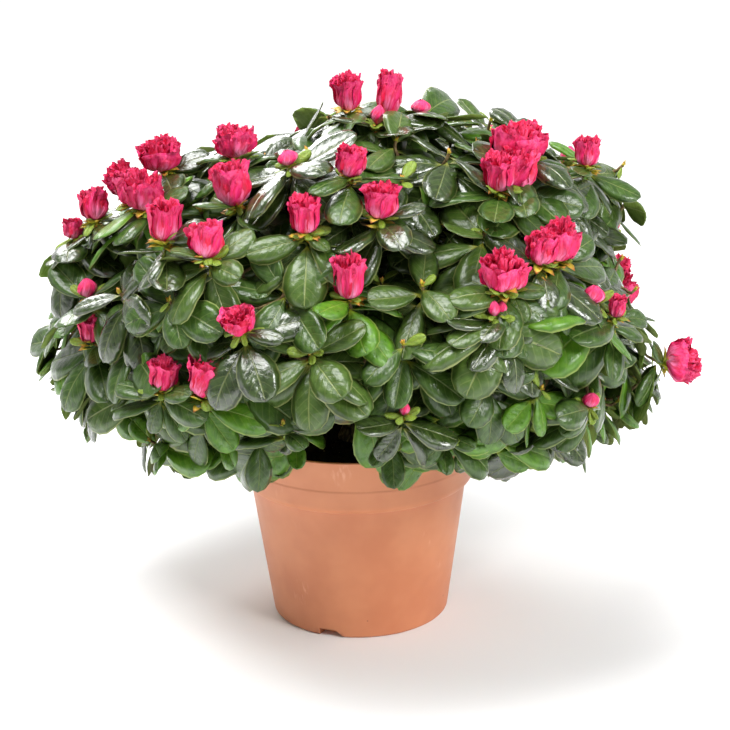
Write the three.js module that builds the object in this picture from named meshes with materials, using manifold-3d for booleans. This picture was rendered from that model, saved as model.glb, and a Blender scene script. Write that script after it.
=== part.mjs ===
/**
 * A florist's azalea in its plastic nursery pot: a broad, low dome of foliage on thin forking
 * stems, whose lower skirt hangs over the rim of a terracotta-coloured pot.
 *
 * Units are millimetres, +Z is up, and -Y is the front. The origin is the centre of the flat
 * underside of the pot, so the whole plant stands on z = 0.
 */
import * as THREE from "three";
import { mergeVertices } from "three/addons/utils/BufferGeometryUtils.js";
import Module from "manifold-3d";

const wasm = await Module();
wasm.setup();

/** Clearance between solids that touch on the real plant. */
const GAP = 0.3;
const UP = new THREE.Vector3(0, 0, 1);

/** A 14 cm nursery pot: tapering body under a deep rim band with a rounded lower lip. */
const POT = {
  height: 112,
  rimRadius: 70,
  bandDepth: 26.5,
  bandFootRadius: 66.5,
  lipDrop: 5.5,
  shoulderRadius: 62.1,
  footRadius: 51,
  footRound: 2,
  wall: 1.8,
  floor: 2.4,
  sides: 32,
};

/** Drainage notches in the edge of the foot. */
const NOTCH = { count: 3, firstAzimuth: -109.5, width: 15, height: 4.5, depth: 7 };

/** Moist peat, flat under the stem and a little lower at the wall. */
const PEAT = { crownHeight: 102.5, edgeHeight: 101, flatRadius: 30, sides: 24 };

/** The short main stem: flared at the peat, leaning a little, forked at its top. */
const TRUNK = {
  height: 34,
  flareRadius: 12.5,
  baseRadius: 8.5,
  topRadius: 6,
  flareHeight: 9,
  flareRidges: 5,
  ridgeDepth: 0.12,
  lean: new THREE.Vector2(3, -2),
  sides: 10,
  steps: 5,
};

/**
 * The outline of the whole crown, as reaches from its centre. A power above 2 is squarer than an
 * ellipse, so the dome's sides stand steep and its shoulders are full, and the skirt is rounder.
 */
const CROWN = {
  centreHeight: 168,
  halfWidth: 191,
  halfDepth: 181,
  rise: 139,
  drop: 72,
  domePower: 2.4,
  skirtPower: 2,
};

/**
 * The masses of foliage, tier by tier. A tier's masses look out at one elevation, at these
 * azimuths round the crown, and spread tells how far each reaches against the crown's outline.
 */
const TIERS = [
  {
    name: "top",
    elevation: 90,
    azimuth: [0],
    spread: [1.02],
  },
  {
    name: "upper",
    elevation: 46,
    azimuth: [-90, -18, 54, 126, 198],
    spread: [1.0, 1.0, 0.95, 0.88, 0.91],
  },
  {
    name: "middle",
    elevation: 12,
    azimuth: [-64, -12, 40, 90, 142, 194, 244],
    spread: [1.0, 0.9, 0.95, 1.0, 0.93, 0.92, 1.0],
  },
  {
    name: "lower",
    elevation: -24,
    azimuth: [-76, -36, 2, 45, 90, 138, 186, 232],
    spread: [1.0, 1.02, 1.12, 0.97, 1.0, 0.97, 1.08, 1.0],
  },
];

/** How a mass fills its own share of the crown. */
const MASS = {
  detail: 3,
  centreShare: 0.74,
  thickness: 0.14,
  rounding: 8,
  tufts: 14,
  tuftWidth: 0.32,
  tuftDip: 0.25,
};

/** Limbs: the main boughs leave the stem, and the others fork from the nearest main bough. */
const BOUGH = {
  sides: 5,
  mainSteps: 6,
  forkSteps: 4,
  mainRadius: 4.2,
  mainTipRadius: 2.2,
  forkRadius: 2.9,
  forkTipRadius: 1.8,
  collarHeights: [14, 26],
  lowerForkAt: 0.3,
  upperForkAt: 0.42,
};

const MATERIALS = {
  pot: new THREE.MeshStandardMaterial({ color: 0xcf8561, roughness: 0.55, metalness: 0 }),
  peat: new THREE.MeshStandardMaterial({ color: 0x241c16, roughness: 1, metalness: 0 }),
  bark: new THREE.MeshStandardMaterial({ color: 0x6f5138, roughness: 0.9, metalness: 0 }),
  foliage: new THREE.MeshStandardMaterial({ color: 0x3f5a2c, roughness: 0.5, metalness: 0 }),
};

const group = new THREE.Group();

/** Adds one finished solid to the plant under its own name. */
function addPart(name, geometry, material) {
  geometry.computeVertexNormals();
  const mesh = new THREE.Mesh(geometry, material.clone());
  mesh.name = name;
  group.add(mesh);
}

/** A repeatable source of numbers from 0 to 1. */
function randomSource(seed) {
  let state = seed >>> 0;
  return () => {
    state = (state + 0x6d2b79f5) >>> 0;
    let mixed = Math.imul(state ^ (state >>> 15), state | 1);
    mixed ^= mixed + Math.imul(mixed ^ (mixed >>> 7), mixed | 61);
    return ((mixed ^ (mixed >>> 14)) >>> 0) / 4294967296;
  };
}

/** The same geometry with only positions, its shared corners joined. */
function welded(geometry) {
  geometry.deleteAttribute("normal");
  geometry.deleteAttribute("uv");
  return mergeVertices(geometry, 1e-4);
}

/** A closed geometry as a solid that can be joined and cut. */
function solid(geometry) {
  const plain = welded(geometry);
  return new wasm.Manifold(
    new wasm.Mesh({
      numProp: 3,
      vertProperties: new Float32Array(plain.attributes.position.array),
      triVerts: new Uint32Array(plain.index.array),
    }),
  );
}

/** A solid back as a geometry. */
function geometryOf(shape) {
  const mesh = shape.getMesh();
  const geometry = new THREE.BufferGeometry();
  geometry.setAttribute("position", new THREE.BufferAttribute(mesh.vertProperties, 3));
  geometry.setIndex(new THREE.BufferAttribute(mesh.triVerts, 1));
  return geometry;
}

/** A unit vector at an azimuth round +Z and an elevation above the horizon, in degrees. */
function direction(azimuth, elevation) {
  const turn = THREE.MathUtils.degToRad(azimuth);
  const lift = THREE.MathUtils.degToRad(elevation);
  const flat = Math.cos(lift);
  return new THREE.Vector3(flat * Math.cos(turn), flat * Math.sin(turn), Math.sin(lift));
}

// ---------------------------------------------------------------- pot and peat

/** Inner radius of the pot's body at a height. */
function potInnerRadius(height) {
  const bodyHeight = POT.height - POT.bandDepth - POT.lipDrop;
  const share = height / bodyHeight;
  return THREE.MathUtils.lerp(POT.footRadius, POT.shoulderRadius, share) - POT.wall;
}

/** A turned solid from a closed profile of [radius, height] pairs. */
function turned(profile, sides) {
  const points = profile.map(([radius, height]) => new THREE.Vector2(radius, height));
  const geometry = new THREE.LatheGeometry(points, sides);
  return geometry.rotateX(Math.PI / 2);
}

/** The pot, turned from its wall's profile, with the notches cut out of its foot. */
function potSolid() {
  const bandFoot = POT.height - POT.bandDepth;
  const shoulder = bandFoot - POT.lipDrop;
  const lip = POT.bandFootRadius - POT.shoulderRadius;
  const profile = [
    [0, 0],
    [POT.footRadius - POT.footRound, 0],
    [POT.footRadius, POT.footRound],
    [POT.shoulderRadius, shoulder],
    [POT.shoulderRadius + 0.75 * lip, shoulder + 0.4 * POT.lipDrop],
    [POT.bandFootRadius, bandFoot],
    [POT.rimRadius, POT.height],
    [POT.rimRadius - POT.wall, POT.height],
    [POT.bandFootRadius - POT.wall, bandFoot],
    [POT.shoulderRadius - POT.wall, shoulder],
    [potInnerRadius(POT.floor), POT.floor],
    [0, POT.floor],
  ];
  let pot = solid(turned(profile, POT.sides));
  for (let i = 0; i < NOTCH.count; i += 1) {
    const azimuth = NOTCH.firstAzimuth + (360 * i) / NOTCH.count;
    const cutter = new THREE.BoxGeometry(2 * NOTCH.depth, NOTCH.width, 2 * NOTCH.height);
    cutter.translate(POT.footRadius, 0, 0);
    cutter.rotateZ(THREE.MathUtils.degToRad(azimuth));
    pot = pot.subtract(solid(cutter));
  }
  return pot;
}

/** The peat that fills the pot up to just under its rim. */
function peatSolid() {
  const low = POT.floor + GAP;
  const bandFoot = POT.height - POT.bandDepth;
  const shoulder = bandFoot - POT.lipDrop;
  const bandRise = (PEAT.edgeHeight - bandFoot) / POT.bandDepth;
  const edgeRadius = THREE.MathUtils.lerp(POT.bandFootRadius, POT.rimRadius, bandRise) - POT.wall;
  const profile = [
    [0, low],
    [potInnerRadius(low) - 2 * GAP, low],
    [potInnerRadius(shoulder) - 2 * GAP, shoulder],
    [POT.bandFootRadius - POT.wall - 2 * GAP, bandFoot],
    [edgeRadius - 2 * GAP, PEAT.edgeHeight],
    [PEAT.flatRadius, PEAT.crownHeight],
    [0, PEAT.crownHeight],
  ];
  return solid(turned(profile, PEAT.sides));
}

// ---------------------------------------------------------------- crown

/** How far the crown's outline is from its centre along a direction. */
function crownReach(aim) {
  const below = aim.z < 0;
  const power = below ? CROWN.skirtPower : CROWN.domePower;
  const flat = Math.hypot(aim.x / CROWN.halfWidth, aim.y / CROWN.halfDepth);
  const upright = Math.abs(aim.z) / (below ? CROWN.drop : CROWN.rise);
  return Math.pow(Math.pow(flat, power) + Math.pow(upright, power), -1 / power);
}

const crownCentre = new THREE.Vector3(0, 0, CROWN.centreHeight);

/** Every mass of foliage with its place, its way out and the tufts that make it uneven. */
const masses = TIERS.flatMap((tier, tierIndex) =>
  tier.spread.map((spread, i) => {
    const azimuth = tier.azimuth[i];
    const random = randomSource(1000 * (tierIndex + 1) + i);
    const outward = direction(azimuth, tier.elevation);
    const reach = spread * crownReach(outward);
    const tufts = Array.from({ length: MASS.tufts }, () => {
      const tuft = direction(360 * random(), THREE.MathUtils.radToDeg(Math.asin(2 * random() - 1)));
      return tuft.addScaledVector(outward, 0.7).normalize();
    });
    return {
      name: tier.spread.length === 1 ? `foliage_${tier.name}` : `foliage_${tier.name}_${i + 1}`,
      tier: tier.name,
      number: i + 1,
      azimuth,
      outward,
      spread,
      reach,
      tufts,
      centre: outward.clone().multiplyScalar(MASS.centreShare * reach).add(crownCentre),
    };
  }),
);

/** Distance from a point to a plane along a direction, or Infinity if it faces away. */
function distanceToPlane(from, aim, normal, offset) {
  const approach = aim.dot(normal);
  return approach > 1e-6 ? (offset - from.dot(normal)) / approach : Infinity;
}

/** Distance from a mass's centre to the crown's outline along a direction. */
function distanceToOutline(mass, aim) {
  let near = 0;
  let far = 2 * CROWN.halfWidth;
  for (let i = 0; i < 24; i += 1) {
    const middle = (near + far) / 2;
    const place = mass.centre.clone().addScaledVector(aim, middle).sub(crownCentre);
    const length = place.length();
    const inside = length < mass.spread * crownReach(place.divideScalar(length));
    if (inside) near = middle;
    else far = middle;
  }
  return near;
}

/** Flat limits of a mass: halfway to each neighbour, its own inner side, and the pot's rim. */
function limitsOf(mass) {
  const limits = masses
    .filter((other) => other !== mass)
    .map((other) => {
      const normal = other.centre.clone().sub(mass.centre).normalize();
      const halfway = other.centre.clone().add(mass.centre).multiplyScalar(0.5);
      return { normal, offset: halfway.dot(normal) - GAP / 2 };
    });
  const inward = mass.outward.clone().negate();
  limits.push({ normal: inward, offset: mass.centre.dot(inward) + MASS.thickness * mass.reach });
  const potward = direction(mass.azimuth + 180, -35);
  const rim = direction(mass.azimuth, 0).multiplyScalar(POT.rimRadius + GAP);
  rim.z = POT.height + GAP;
  limits.push({ normal: potward, offset: rim.dot(potward) });
  return limits;
}

/** One mass: rounded off inside its limits and the crown's outline, then dipped between tufts. */
function massGeometry(mass, growth = 0) {
  const geometry = welded(new THREE.IcosahedronGeometry(1, MASS.detail));
  const limits = limitsOf(mass);
  const corners = geometry.attributes.position;
  const aim = new THREE.Vector3();
  for (let i = 0; i < corners.count; i += 1) {
    aim.fromBufferAttribute(corners, i).normalize();
    const distances = limits.map(({ normal, offset }) => distanceToPlane(mass.centre, aim, normal, offset));
    distances.push(distanceToOutline(mass, aim));
    const sum = distances.reduce((total, distance) => total + Math.pow(distance, -MASS.rounding), 0);
    const closeness = mass.tufts.map((tuft) => Math.exp((aim.dot(tuft) - 1) / MASS.tuftWidth ** 2));
    const dip = 1 - MASS.tuftDip * (1 - Math.max(...closeness));
    aim.multiplyScalar(dip * Math.pow(sum, -1 / MASS.rounding) + growth).add(mass.centre);
    corners.setXYZ(i, aim.x, aim.y, aim.z);
  }
  return geometry;
}

// ---------------------------------------------------------------- stem and boughs

const trunkFoot = new THREE.Vector3(0, 0, PEAT.crownHeight + GAP);

/** The middle of the leaning stem at a height above its cut. */
function trunkMiddle(height) {
  const share = height / TRUNK.height;
  const lean = TRUNK.lean.clone().multiplyScalar(share * share);
  return trunkFoot.clone().add(new THREE.Vector3(lean.x, lean.y, height));
}

/** The stem: a tapering, leaning cylinder whose foot flares out in ridges. */
function trunkSolid(growth = 0) {
  const { height, sides, steps } = TRUNK;
  const geometry = new THREE.CylinderGeometry(1, 1, 1, sides, steps);
  geometry.rotateX(Math.PI / 2);
  const corners = geometry.attributes.position;
  for (let i = 0; i < corners.count; i += 1) {
    const rise = height * (corners.getZ(i) + 0.5);
    const turn = Math.atan2(corners.getY(i), corners.getX(i));
    const onAxis = Math.hypot(corners.getX(i), corners.getY(i)) < 0.5;
    const flare = Math.exp(-rise / (TRUNK.flareHeight / 2));
    const ridge = 1 + TRUNK.ridgeDepth * flare * Math.cos(TRUNK.flareRidges * turn);
    const taper = THREE.MathUtils.lerp(TRUNK.baseRadius, TRUNK.topRadius, rise / height);
    const radius = (taper + (TRUNK.flareRadius - TRUNK.baseRadius) * flare) * ridge + growth;
    const middle = trunkMiddle(rise);
    const out = onAxis ? 0 : radius;
    const lift = growth * Math.sign(corners.getZ(i));
    corners.setXYZ(i, middle.x + out * Math.cos(turn), middle.y + out * Math.sin(turn), middle.z + lift);
  }
  return solid(geometry);
}

/** A limb: a cylinder led along a curve, tapering from its foot to its tip. */
function limbSolid(limb, growth = 0) {
  const { curve, footRadius, tipRadius, steps } = limb;
  const geometry = new THREE.CylinderGeometry(1, 1, 1, BOUGH.sides, steps);
  const frames = curve.computeFrenetFrames(steps);
  const corners = geometry.attributes.position;
  for (let i = 0; i < corners.count; i += 1) {
    const step = Math.round(steps * (corners.getY(i) + 0.5));
    const radius = THREE.MathUtils.lerp(footRadius, tipRadius, step / steps) + growth;
    const place = curve.getPointAt(step / steps);
    place.addScaledVector(frames.normals[step], radius * corners.getX(i));
    place.addScaledVector(frames.binormals[step], -radius * corners.getZ(i));
    corners.setXYZ(i, place.x, place.y, place.z);
  }
  return solid(geometry);
}

/** A curve that leaves one place along a heading and comes to another along a second heading. */
function sweep(from, fromHeading, to, toHeading) {
  const stride = 0.36 * from.distanceTo(to);
  const leave = from.clone().addScaledVector(fromHeading, stride);
  const arrive = to.clone().addScaledVector(toHeading, -stride);
  return new THREE.CubicBezierCurve3(from, leave, arrive, to);
}

/** The limbs that leave the stem: one to each mass of the middle tier, and the leader. */
const mainLimbs = masses
  .filter((mass) => mass.tier === "middle" || mass.tier === "top")
  .map((mass) => {
    const leader = mass.tier === "top";
    const collar = leader ? TRUNK.height - 6 : BOUGH.collarHeights[mass.number % 2];
    const heading = leader ? UP : direction(mass.azimuth, 38);
    const arrival = leader ? UP : direction(mass.azimuth, 22);
    return {
      mass,
      curve: sweep(trunkMiddle(collar), heading, mass.centre, arrival),
      footRadius: BOUGH.mainRadius,
      tipRadius: BOUGH.mainTipRadius,
      steps: BOUGH.mainSteps,
    };
  });

/** The angle between two azimuths, 0 to 180 degrees. */
function turnBetween(first, second) {
  return Math.abs(THREE.MathUtils.euclideanModulo(first - second + 180, 360) - 180);
}

/** The limbs that fork from the main bough that passes nearest. */
const forkLimbs = masses
  .filter((mass) => mass.tier === "upper" || mass.tier === "lower")
  .map((mass) => {
    const carriers = mainLimbs.filter((limb) => limb.mass.tier === "middle");
    carriers.sort(
      (a, b) => turnBetween(a.mass.azimuth, mass.azimuth) - turnBetween(b.mass.azimuth, mass.azimuth),
    );
    const [carrier] = carriers;
    const rising = mass.tier === "upper";
    const start = carrier.curve.getPointAt(rising ? BOUGH.upperForkAt : BOUGH.lowerForkAt);
    const heading = rising ? direction(mass.azimuth, 70) : direction(mass.azimuth, 20);
    const arrival = rising ? direction(mass.azimuth, 50) : direction(mass.azimuth, -30);
    return {
      mass,
      carrier,
      curve: sweep(start, heading, mass.centre, arrival),
      footRadius: BOUGH.forkRadius,
      tipRadius: BOUGH.forkTipRadius,
      steps: BOUGH.forkSteps,
    };
  });

/** The largest piece of a solid that a cut may have left in several. */
function largest(shape) {
  const pieces = shape.decompose();
  return pieces.reduce((best, piece) => (piece.volume() > best.volume() ? piece : best));
}

// ---------------------------------------------------------------- the plant, put together

addPart("pot", geometryOf(potSolid()), MATERIALS.pot);
addPart("peat", geometryOf(peatSolid()), MATERIALS.peat);
addPart("trunk", geometryOf(trunkSolid()), MATERIALS.bark);

const cleared = [trunkSolid(GAP)];
for (const limb of [...mainLimbs, ...forkLimbs]) {
  let bough = limbSolid(limb).subtract(solid(massGeometry(limb.mass, 1.5 * GAP)));
  for (const neighbour of cleared) bough = bough.subtract(neighbour);
  addPart(limb.mass.name.replace("foliage", "bough"), geometryOf(largest(bough)), MATERIALS.bark);
  cleared.push(limbSolid(limb, GAP));
}

for (const mass of masses) addPart(mass.name, massGeometry(mass), MATERIALS.foliage);

export default group;
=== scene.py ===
"""A florist's azalea in flower, standing in its terracotta-coloured nursery pot.

Lengths are in metres, +Z is up and -Y is the front. The frame gives the pot, the peat, the
limbs and the outline of the foliage. The plant grows on from the limbs: twigs fork towards
shoots that are spread over the outline, and each shoot carries its leaves and perhaps a flower.
"""

from __future__ import annotations

import logging
import math
from dataclasses import dataclass, field
from enum import Enum
from typing import Optional, Sequence, Union

import bmesh
import bpy
import numpy as np
from mathutils import Matrix, Quaternion, Vector, noise
from mathutils.bvhtree import BVHTree


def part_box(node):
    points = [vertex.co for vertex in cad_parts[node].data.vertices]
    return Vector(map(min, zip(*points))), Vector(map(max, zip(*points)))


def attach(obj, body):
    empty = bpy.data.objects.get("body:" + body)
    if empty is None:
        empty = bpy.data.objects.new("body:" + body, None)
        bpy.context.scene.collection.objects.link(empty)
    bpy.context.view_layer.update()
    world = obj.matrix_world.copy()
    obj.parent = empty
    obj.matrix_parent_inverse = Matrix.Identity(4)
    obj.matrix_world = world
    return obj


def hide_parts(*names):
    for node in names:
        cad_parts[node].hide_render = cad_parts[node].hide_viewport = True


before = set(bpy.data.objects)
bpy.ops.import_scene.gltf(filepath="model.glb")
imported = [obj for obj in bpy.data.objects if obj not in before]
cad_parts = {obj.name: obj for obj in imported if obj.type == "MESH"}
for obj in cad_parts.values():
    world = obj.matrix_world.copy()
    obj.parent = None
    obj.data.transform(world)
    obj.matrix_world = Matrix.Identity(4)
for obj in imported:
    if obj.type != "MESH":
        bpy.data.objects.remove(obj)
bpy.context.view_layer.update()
LOG = logging.getLogger("azalea")

UP = Vector((0.0, 0.0, 1.0))
MM = 0.001
GOLDEN_ANGLE = math.pi * (3.0 - math.sqrt(5.0))
PATTERN_MAP = "OFBake"
"""The UV map on which leaves and petals carry their veins and creases."""

MAP_HALVES = (0.01, 0.51)
"""Where the map's two halves start: one for a blade's upper side, one for its back."""
MAP_HALF_WIDTH, MAP_LENGTH = 0.24, 0.98

Colour = tuple[int, int, int]
Feed = Union[bpy.types.NodeSocket, float, int, str, bool, tuple, bpy.types.ID]


class Body(Enum):
    """The bodies of the frame."""

    PLANT = "root"


class Slot(Enum):
    """The finishes that the record names."""

    POT = "pot_plastic"
    PEAT = "peat"
    BARK = "bark"
    FOLIAGE = "foliage"
    BLOSSOM = "blossom"


class LeafTone(Enum):
    """The colours that leaves are dealt in, spray by spray."""

    DARK = "dark"
    DEEP = "deep"
    OLIVE = "olive"
    FRESH = "fresh"
    YOUNG = "young"


class FlowerForm(Enum):
    """How far a flower has opened."""

    BUD = 0
    GOBLET = 1
    FOLDED = 2
    RUFFLED = 3


# ---- small helpers


def paint(colour: Colour) -> tuple[float, float, float, float]:
    """Turns a colour of three numbers up to 255 into the linear colour that a shader takes.

    Args:
        colour: Red, green and blue as a paint chart gives them.

    Returns:
        Linear red, green, blue and full opacity.
    """
    linear = []
    for part in colour:
        share = part / 255.0
        linear.append(share / 12.92 if share <= 0.04045 else ((share + 0.055) / 1.055) ** 2.4)
    return (linear[0], linear[1], linear[2], 1.0)


def direction(azimuth: float, elevation: float) -> Vector:
    """Gives the unit vector at an azimuth round +Z and an elevation above the horizon.

    Args:
        azimuth: Degrees from +X towards +Y.
        elevation: Degrees above the horizon.

    Returns:
        The unit vector.
    """
    turn, lift = math.radians(azimuth), math.radians(elevation)
    flat = math.cos(lift)
    return Vector((flat * math.cos(turn), flat * math.sin(turn), math.sin(lift)))


def round_axis(radius: float, turn: float, height: float) -> tuple[float, float, float]:
    """Gives the place at a radius, an angle in radians and a height on the plant's axis."""
    return (radius * math.cos(turn), radius * math.sin(turn), height)


def square_to(vector: Vector, axis: Vector) -> Vector:
    """Gives the unit part of a vector that is square to a unit axis.

    Args:
        vector: The vector.
        axis: The unit axis.

    Returns:
        The unit vector square to the axis.
    """
    across = vector - axis * vector.dot(axis)
    if across.length < 1e-5:
        across = axis.orthogonal()
    return across.normalized()


def spoke(axis: Vector, hint: Vector, turn: float, pitch: float) -> tuple[Vector, Vector]:
    """Leans out from an axis.

    Args:
        axis: The unit axis.
        hint: The side that angles round it are counted from.
        turn: The angle round it.
        pitch: The angle from it.

    Returns:
        The direction straight out, and the one at the pitch.
    """
    first = square_to(hint, axis)
    radial = first * math.cos(turn) + axis.cross(first) * math.sin(turn)
    return radial, axis * math.cos(pitch) + radial * math.sin(pitch)


def facing(along: Vector, top: Vector) -> Quaternion:
    """Turns +X to a direction, with +Z as near as can be to another.

    Args:
        along: Where the shape's +X points.
        top: Where its +Z should look.

    Returns:
        The turn.
    """
    x_axis = along.normalized()
    z_axis = square_to(top, x_axis)
    y_axis = z_axis.cross(x_axis)
    return Matrix((x_axis, y_axis, z_axis)).transposed().to_quaternion()


def map_place(
    second: bool, side: Union[float, np.ndarray], share: Union[float, np.ndarray]
) -> tuple[Union[float, np.ndarray], Union[float, np.ndarray]]:
    """Gives a place on the pattern map.

    Args:
        second: Whether it is on the map's second half.
        side: The place across a blade or petal, from -1 to 1.
        share: The place along it, from 0 to 1.

    Returns:
        The place's two numbers.
    """
    return MAP_HALVES[second] + MAP_HALF_WIDTH * (side + 1.0), MAP_HALVES[0] + MAP_LENGTH * share


def smooth_step(low: float, high: float, value: np.ndarray) -> np.ndarray:
    """Eases from 0 to 1 as the values go from low to high."""
    share = np.clip((value - low) / (high - low), 0.0, 1.0)
    return share * share * (3.0 - 2.0 * share)


def bezier(controls: Sequence[float], share: np.ndarray) -> np.ndarray:
    """Follows a smooth curve of one number through its control values.

    Args:
        controls: The control values, the first and last of which are met.
        share: Places along the curve, from 0 to 1.

    Returns:
        The curve's value at each place.
    """
    order = len(controls) - 1
    total = np.zeros_like(share)
    for i, value in enumerate(controls):
        total = total + value * math.comb(order, i) * share**i * (1.0 - share) ** (order - i)
    return total


def smooth(mesh: bpy.types.Mesh) -> None:
    """Shades every face of a mesh smooth."""
    mesh.polygons.foreach_set("use_smooth", [True] * len(mesh.polygons))


def new_mesh(
    name: str,
    points: Sequence[Sequence[float]],
    faces: Sequence[Sequence[int]],
    corners: Optional[Sequence[Sequence[tuple[float, float]]]] = None,
) -> bpy.types.Mesh:
    """Makes a smooth-shaded mesh.

    Args:
        name: The mesh's name.
        points: Its points.
        faces: Its faces, as point numbers, anticlockwise from outside.
        corners: A place on the pattern map for each corner of each face, or None for no map.

    Returns:
        The mesh.
    """
    mesh = bpy.data.meshes.new(name)
    mesh.from_pydata([tuple(map(float, p)) for p in points], [], [tuple(f) for f in faces])
    if corners is not None:
        layer = mesh.uv_layers.new(name=PATTERN_MAP)
        flat = [number for face in corners for pair in face for number in pair]
        layer.uv.foreach_set("vector", flat)
    smooth(mesh)
    mesh.update()
    return mesh


def place(name: str, mesh: bpy.types.Mesh) -> bpy.types.Object:
    """Puts a mesh into the scene as an object at the origin.

    Args:
        name: The object's name.
        mesh: Its mesh.

    Returns:
        The object.
    """
    made = bpy.data.objects.new(name, mesh)
    bpy.context.scene.collection.objects.link(made)
    return made


def plain_mesh(carrier: bpy.types.Object) -> bpy.types.Mesh:
    """Runs an object's modifiers, takes them off, and gives what they made as a plain mesh.

    Args:
        carrier: The object.

    Returns:
        The mesh.
    """
    bpy.context.view_layer.update()
    depsgraph = bpy.context.evaluated_depsgraph_get()
    made = bpy.data.meshes.new_from_object(
        carrier.evaluated_get(depsgraph), preserve_all_data_layers=True, depsgraph=depsgraph
    )
    carrier.modifiers.clear()
    return made


def hand_over(piece: bpy.types.Object, stands_for: Sequence[str]) -> None:
    """Ties a finished piece to the frame and reports it.

    Args:
        piece: The finished piece.
        stands_for: The frame's nodes that it replaces.
    """
    if stands_for:
        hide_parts(*stands_for)
    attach(piece, Body.PLANT.value)
    triangles = sum(len(face.vertices) - 2 for face in piece.data.polygons)
    LOG.info("%s: %d triangles", piece.name, triangles)


# ---- node trees


class NodeWriter:
    """Adds nodes to one tree and wires them."""

    def __init__(self, tree: bpy.types.NodeTree) -> None:
        """Starts on a tree."""
        self.tree = tree

    def feed(self, socket: bpy.types.NodeSocket, value: Feed) -> None:
        """Wires a socket to another one, or sets it to a constant.

        Args:
            socket: The socket.
            value: Another socket, or a constant.
        """
        if isinstance(value, bpy.types.NodeSocket):
            self.tree.links.new(value, socket)
        else:
            socket.default_value = value

    def node(
        self, kind: str, inputs: Optional[dict[Union[str, int], Feed]] = None, **settings: object
    ) -> bpy.types.Node:
        """Adds a node.

        Args:
            kind: The node's type.
            inputs: What goes into its sockets, by name or number.
            **settings: Its own properties, set before the sockets.

        Returns:
            The node.
        """
        made = self.tree.nodes.new(kind)
        for name, value in settings.items():
            setattr(made, name, value)
        for name, value in (inputs or {}).items():
            self.feed(made.inputs[name], value)
        return made

    def math(self, operation: str, *values: Feed) -> bpy.types.NodeSocket:
        """Adds a Math node and gives its result.

        Args:
            operation: What it works out.
            *values: What goes into its sockets, in order.

        Returns:
            Its result.
        """
        made = self.node("ShaderNodeMath", operation=operation)
        for socket, value in zip(made.inputs, values):
            self.feed(socket, value)
        return made.outputs[0]

    def ease(
        self, value: Feed, low: float, high: float, start: Feed = 0.0, end: Feed = 1.0
    ) -> bpy.types.NodeSocket:
        """Eases from start to end as a value goes from low to high.

        Args:
            value: The value.
            low: Where it starts to count.
            high: Where it no longer counts.
            start: The result at the low end.
            end: The result at the high end.

        Returns:
            The result.
        """
        spans = {"From Min": low, "From Max": high, "To Min": start, "To Max": end}
        made = self.node(
            "ShaderNodeMapRange", {"Value": value, **spans}, interpolation_type="SMOOTHSTEP"
        )
        return made.outputs["Result"]


class GeometryRecipe(NodeWriter):
    """A Geometry Nodes tree with named inputs, run on a mesh to give a plain mesh."""

    def __init__(self, name: str) -> None:
        """Starts a tree that takes a geometry and gives one.

        Args:
            name: The tree's name.
        """
        super().__init__(bpy.data.node_groups.new(name, "GeometryNodeTree"))
        self.socket("Geometry", "NodeSocketGeometry", in_out="OUTPUT")
        self.entry = self.tree.nodes.new("NodeGroupInput")
        self.exit = self.tree.nodes.new("NodeGroupOutput")
        self.geometry = self.input("Geometry", "NodeSocketGeometry")

    def socket(self, name: str, kind: str, in_out: str) -> None:
        """Adds a socket to the tree's own interface."""
        self.tree.interface.new_socket(name, in_out=in_out, socket_type=kind)

    def input(self, name: str, kind: str) -> bpy.types.NodeSocket:
        """Adds a named input and gives the socket that carries it."""
        self.socket(name, kind, in_out="INPUT")
        return self.entry.outputs[name]

    def attribute(self, name: str, kind: str) -> bpy.types.NodeSocket:
        """Gives the value that each point holds under a name."""
        made = self.node("GeometryNodeInputNamedAttribute", {"Name": name}, data_type=kind)
        return next(s for s in made.outputs if s.name == "Attribute" and s.enabled)

    def luck(self, kind: str, seed: Feed, low: Feed, high: Feed) -> bpy.types.NodeSocket:
        """Gives each point a chance value.

        Args:
            kind: The value's type.
            seed: The seed.
            low: The least value.
            high: The greatest value.

        Returns:
            The value.
        """
        made = self.node("FunctionNodeRandomValue", data_type=kind)
        feeds = {"Min": low, "Max": high, "Seed": seed}
        for socket in made.inputs:
            if socket.enabled and socket.name in feeds:
                self.feed(socket, feeds[socket.name])
        return next(s for s in made.outputs if s.enabled)

    def end(self, geometry: bpy.types.NodeSocket, drop: Sequence[str] = ()) -> None:
        """Ends the tree: whole meshes, no working values, and the material on.

        Args:
            geometry: What the tree made.
            drop: The names of working values that the result doesn't keep.
        """
        whole = self.node("GeometryNodeRealizeInstances", {"Geometry": geometry})
        geometry = whole.outputs["Geometry"]
        for name in drop:
            geometry = self.node(
                "GeometryNodeRemoveAttribute", {"Geometry": geometry, "Name": name}
            ).outputs["Geometry"]
        material = self.input("Material", "NodeSocketMaterial")
        dressed = self.node(
            "GeometryNodeSetMaterial", {"Geometry": geometry, "Material": material}
        )
        self.feed(self.exit.inputs["Geometry"], dressed.outputs["Geometry"])

    def run(self, name: str, mesh: bpy.types.Mesh, values: dict[str, Feed]) -> bpy.types.Object:
        """Runs the tree on a mesh.

        Args:
            name: The finished piece's name.
            mesh: What the tree starts from.
            values: The tree's inputs, by name.

        Returns:
            The finished piece, as a plain mesh at the origin.
        """
        piece = place(name, mesh)
        modifier = piece.modifiers.new(self.tree.name, "NODES")
        modifier.node_group = self.tree
        sockets = {
            item.name: item.identifier
            for item in self.tree.interface.items_tree
            if item.item_type == "SOCKET" and item.in_out == "INPUT"
        }
        for key, value in values.items():
            modifier[sockets[key]] = value
        piece.data = plain_mesh(piece)
        piece.data.name = name
        return piece


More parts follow.
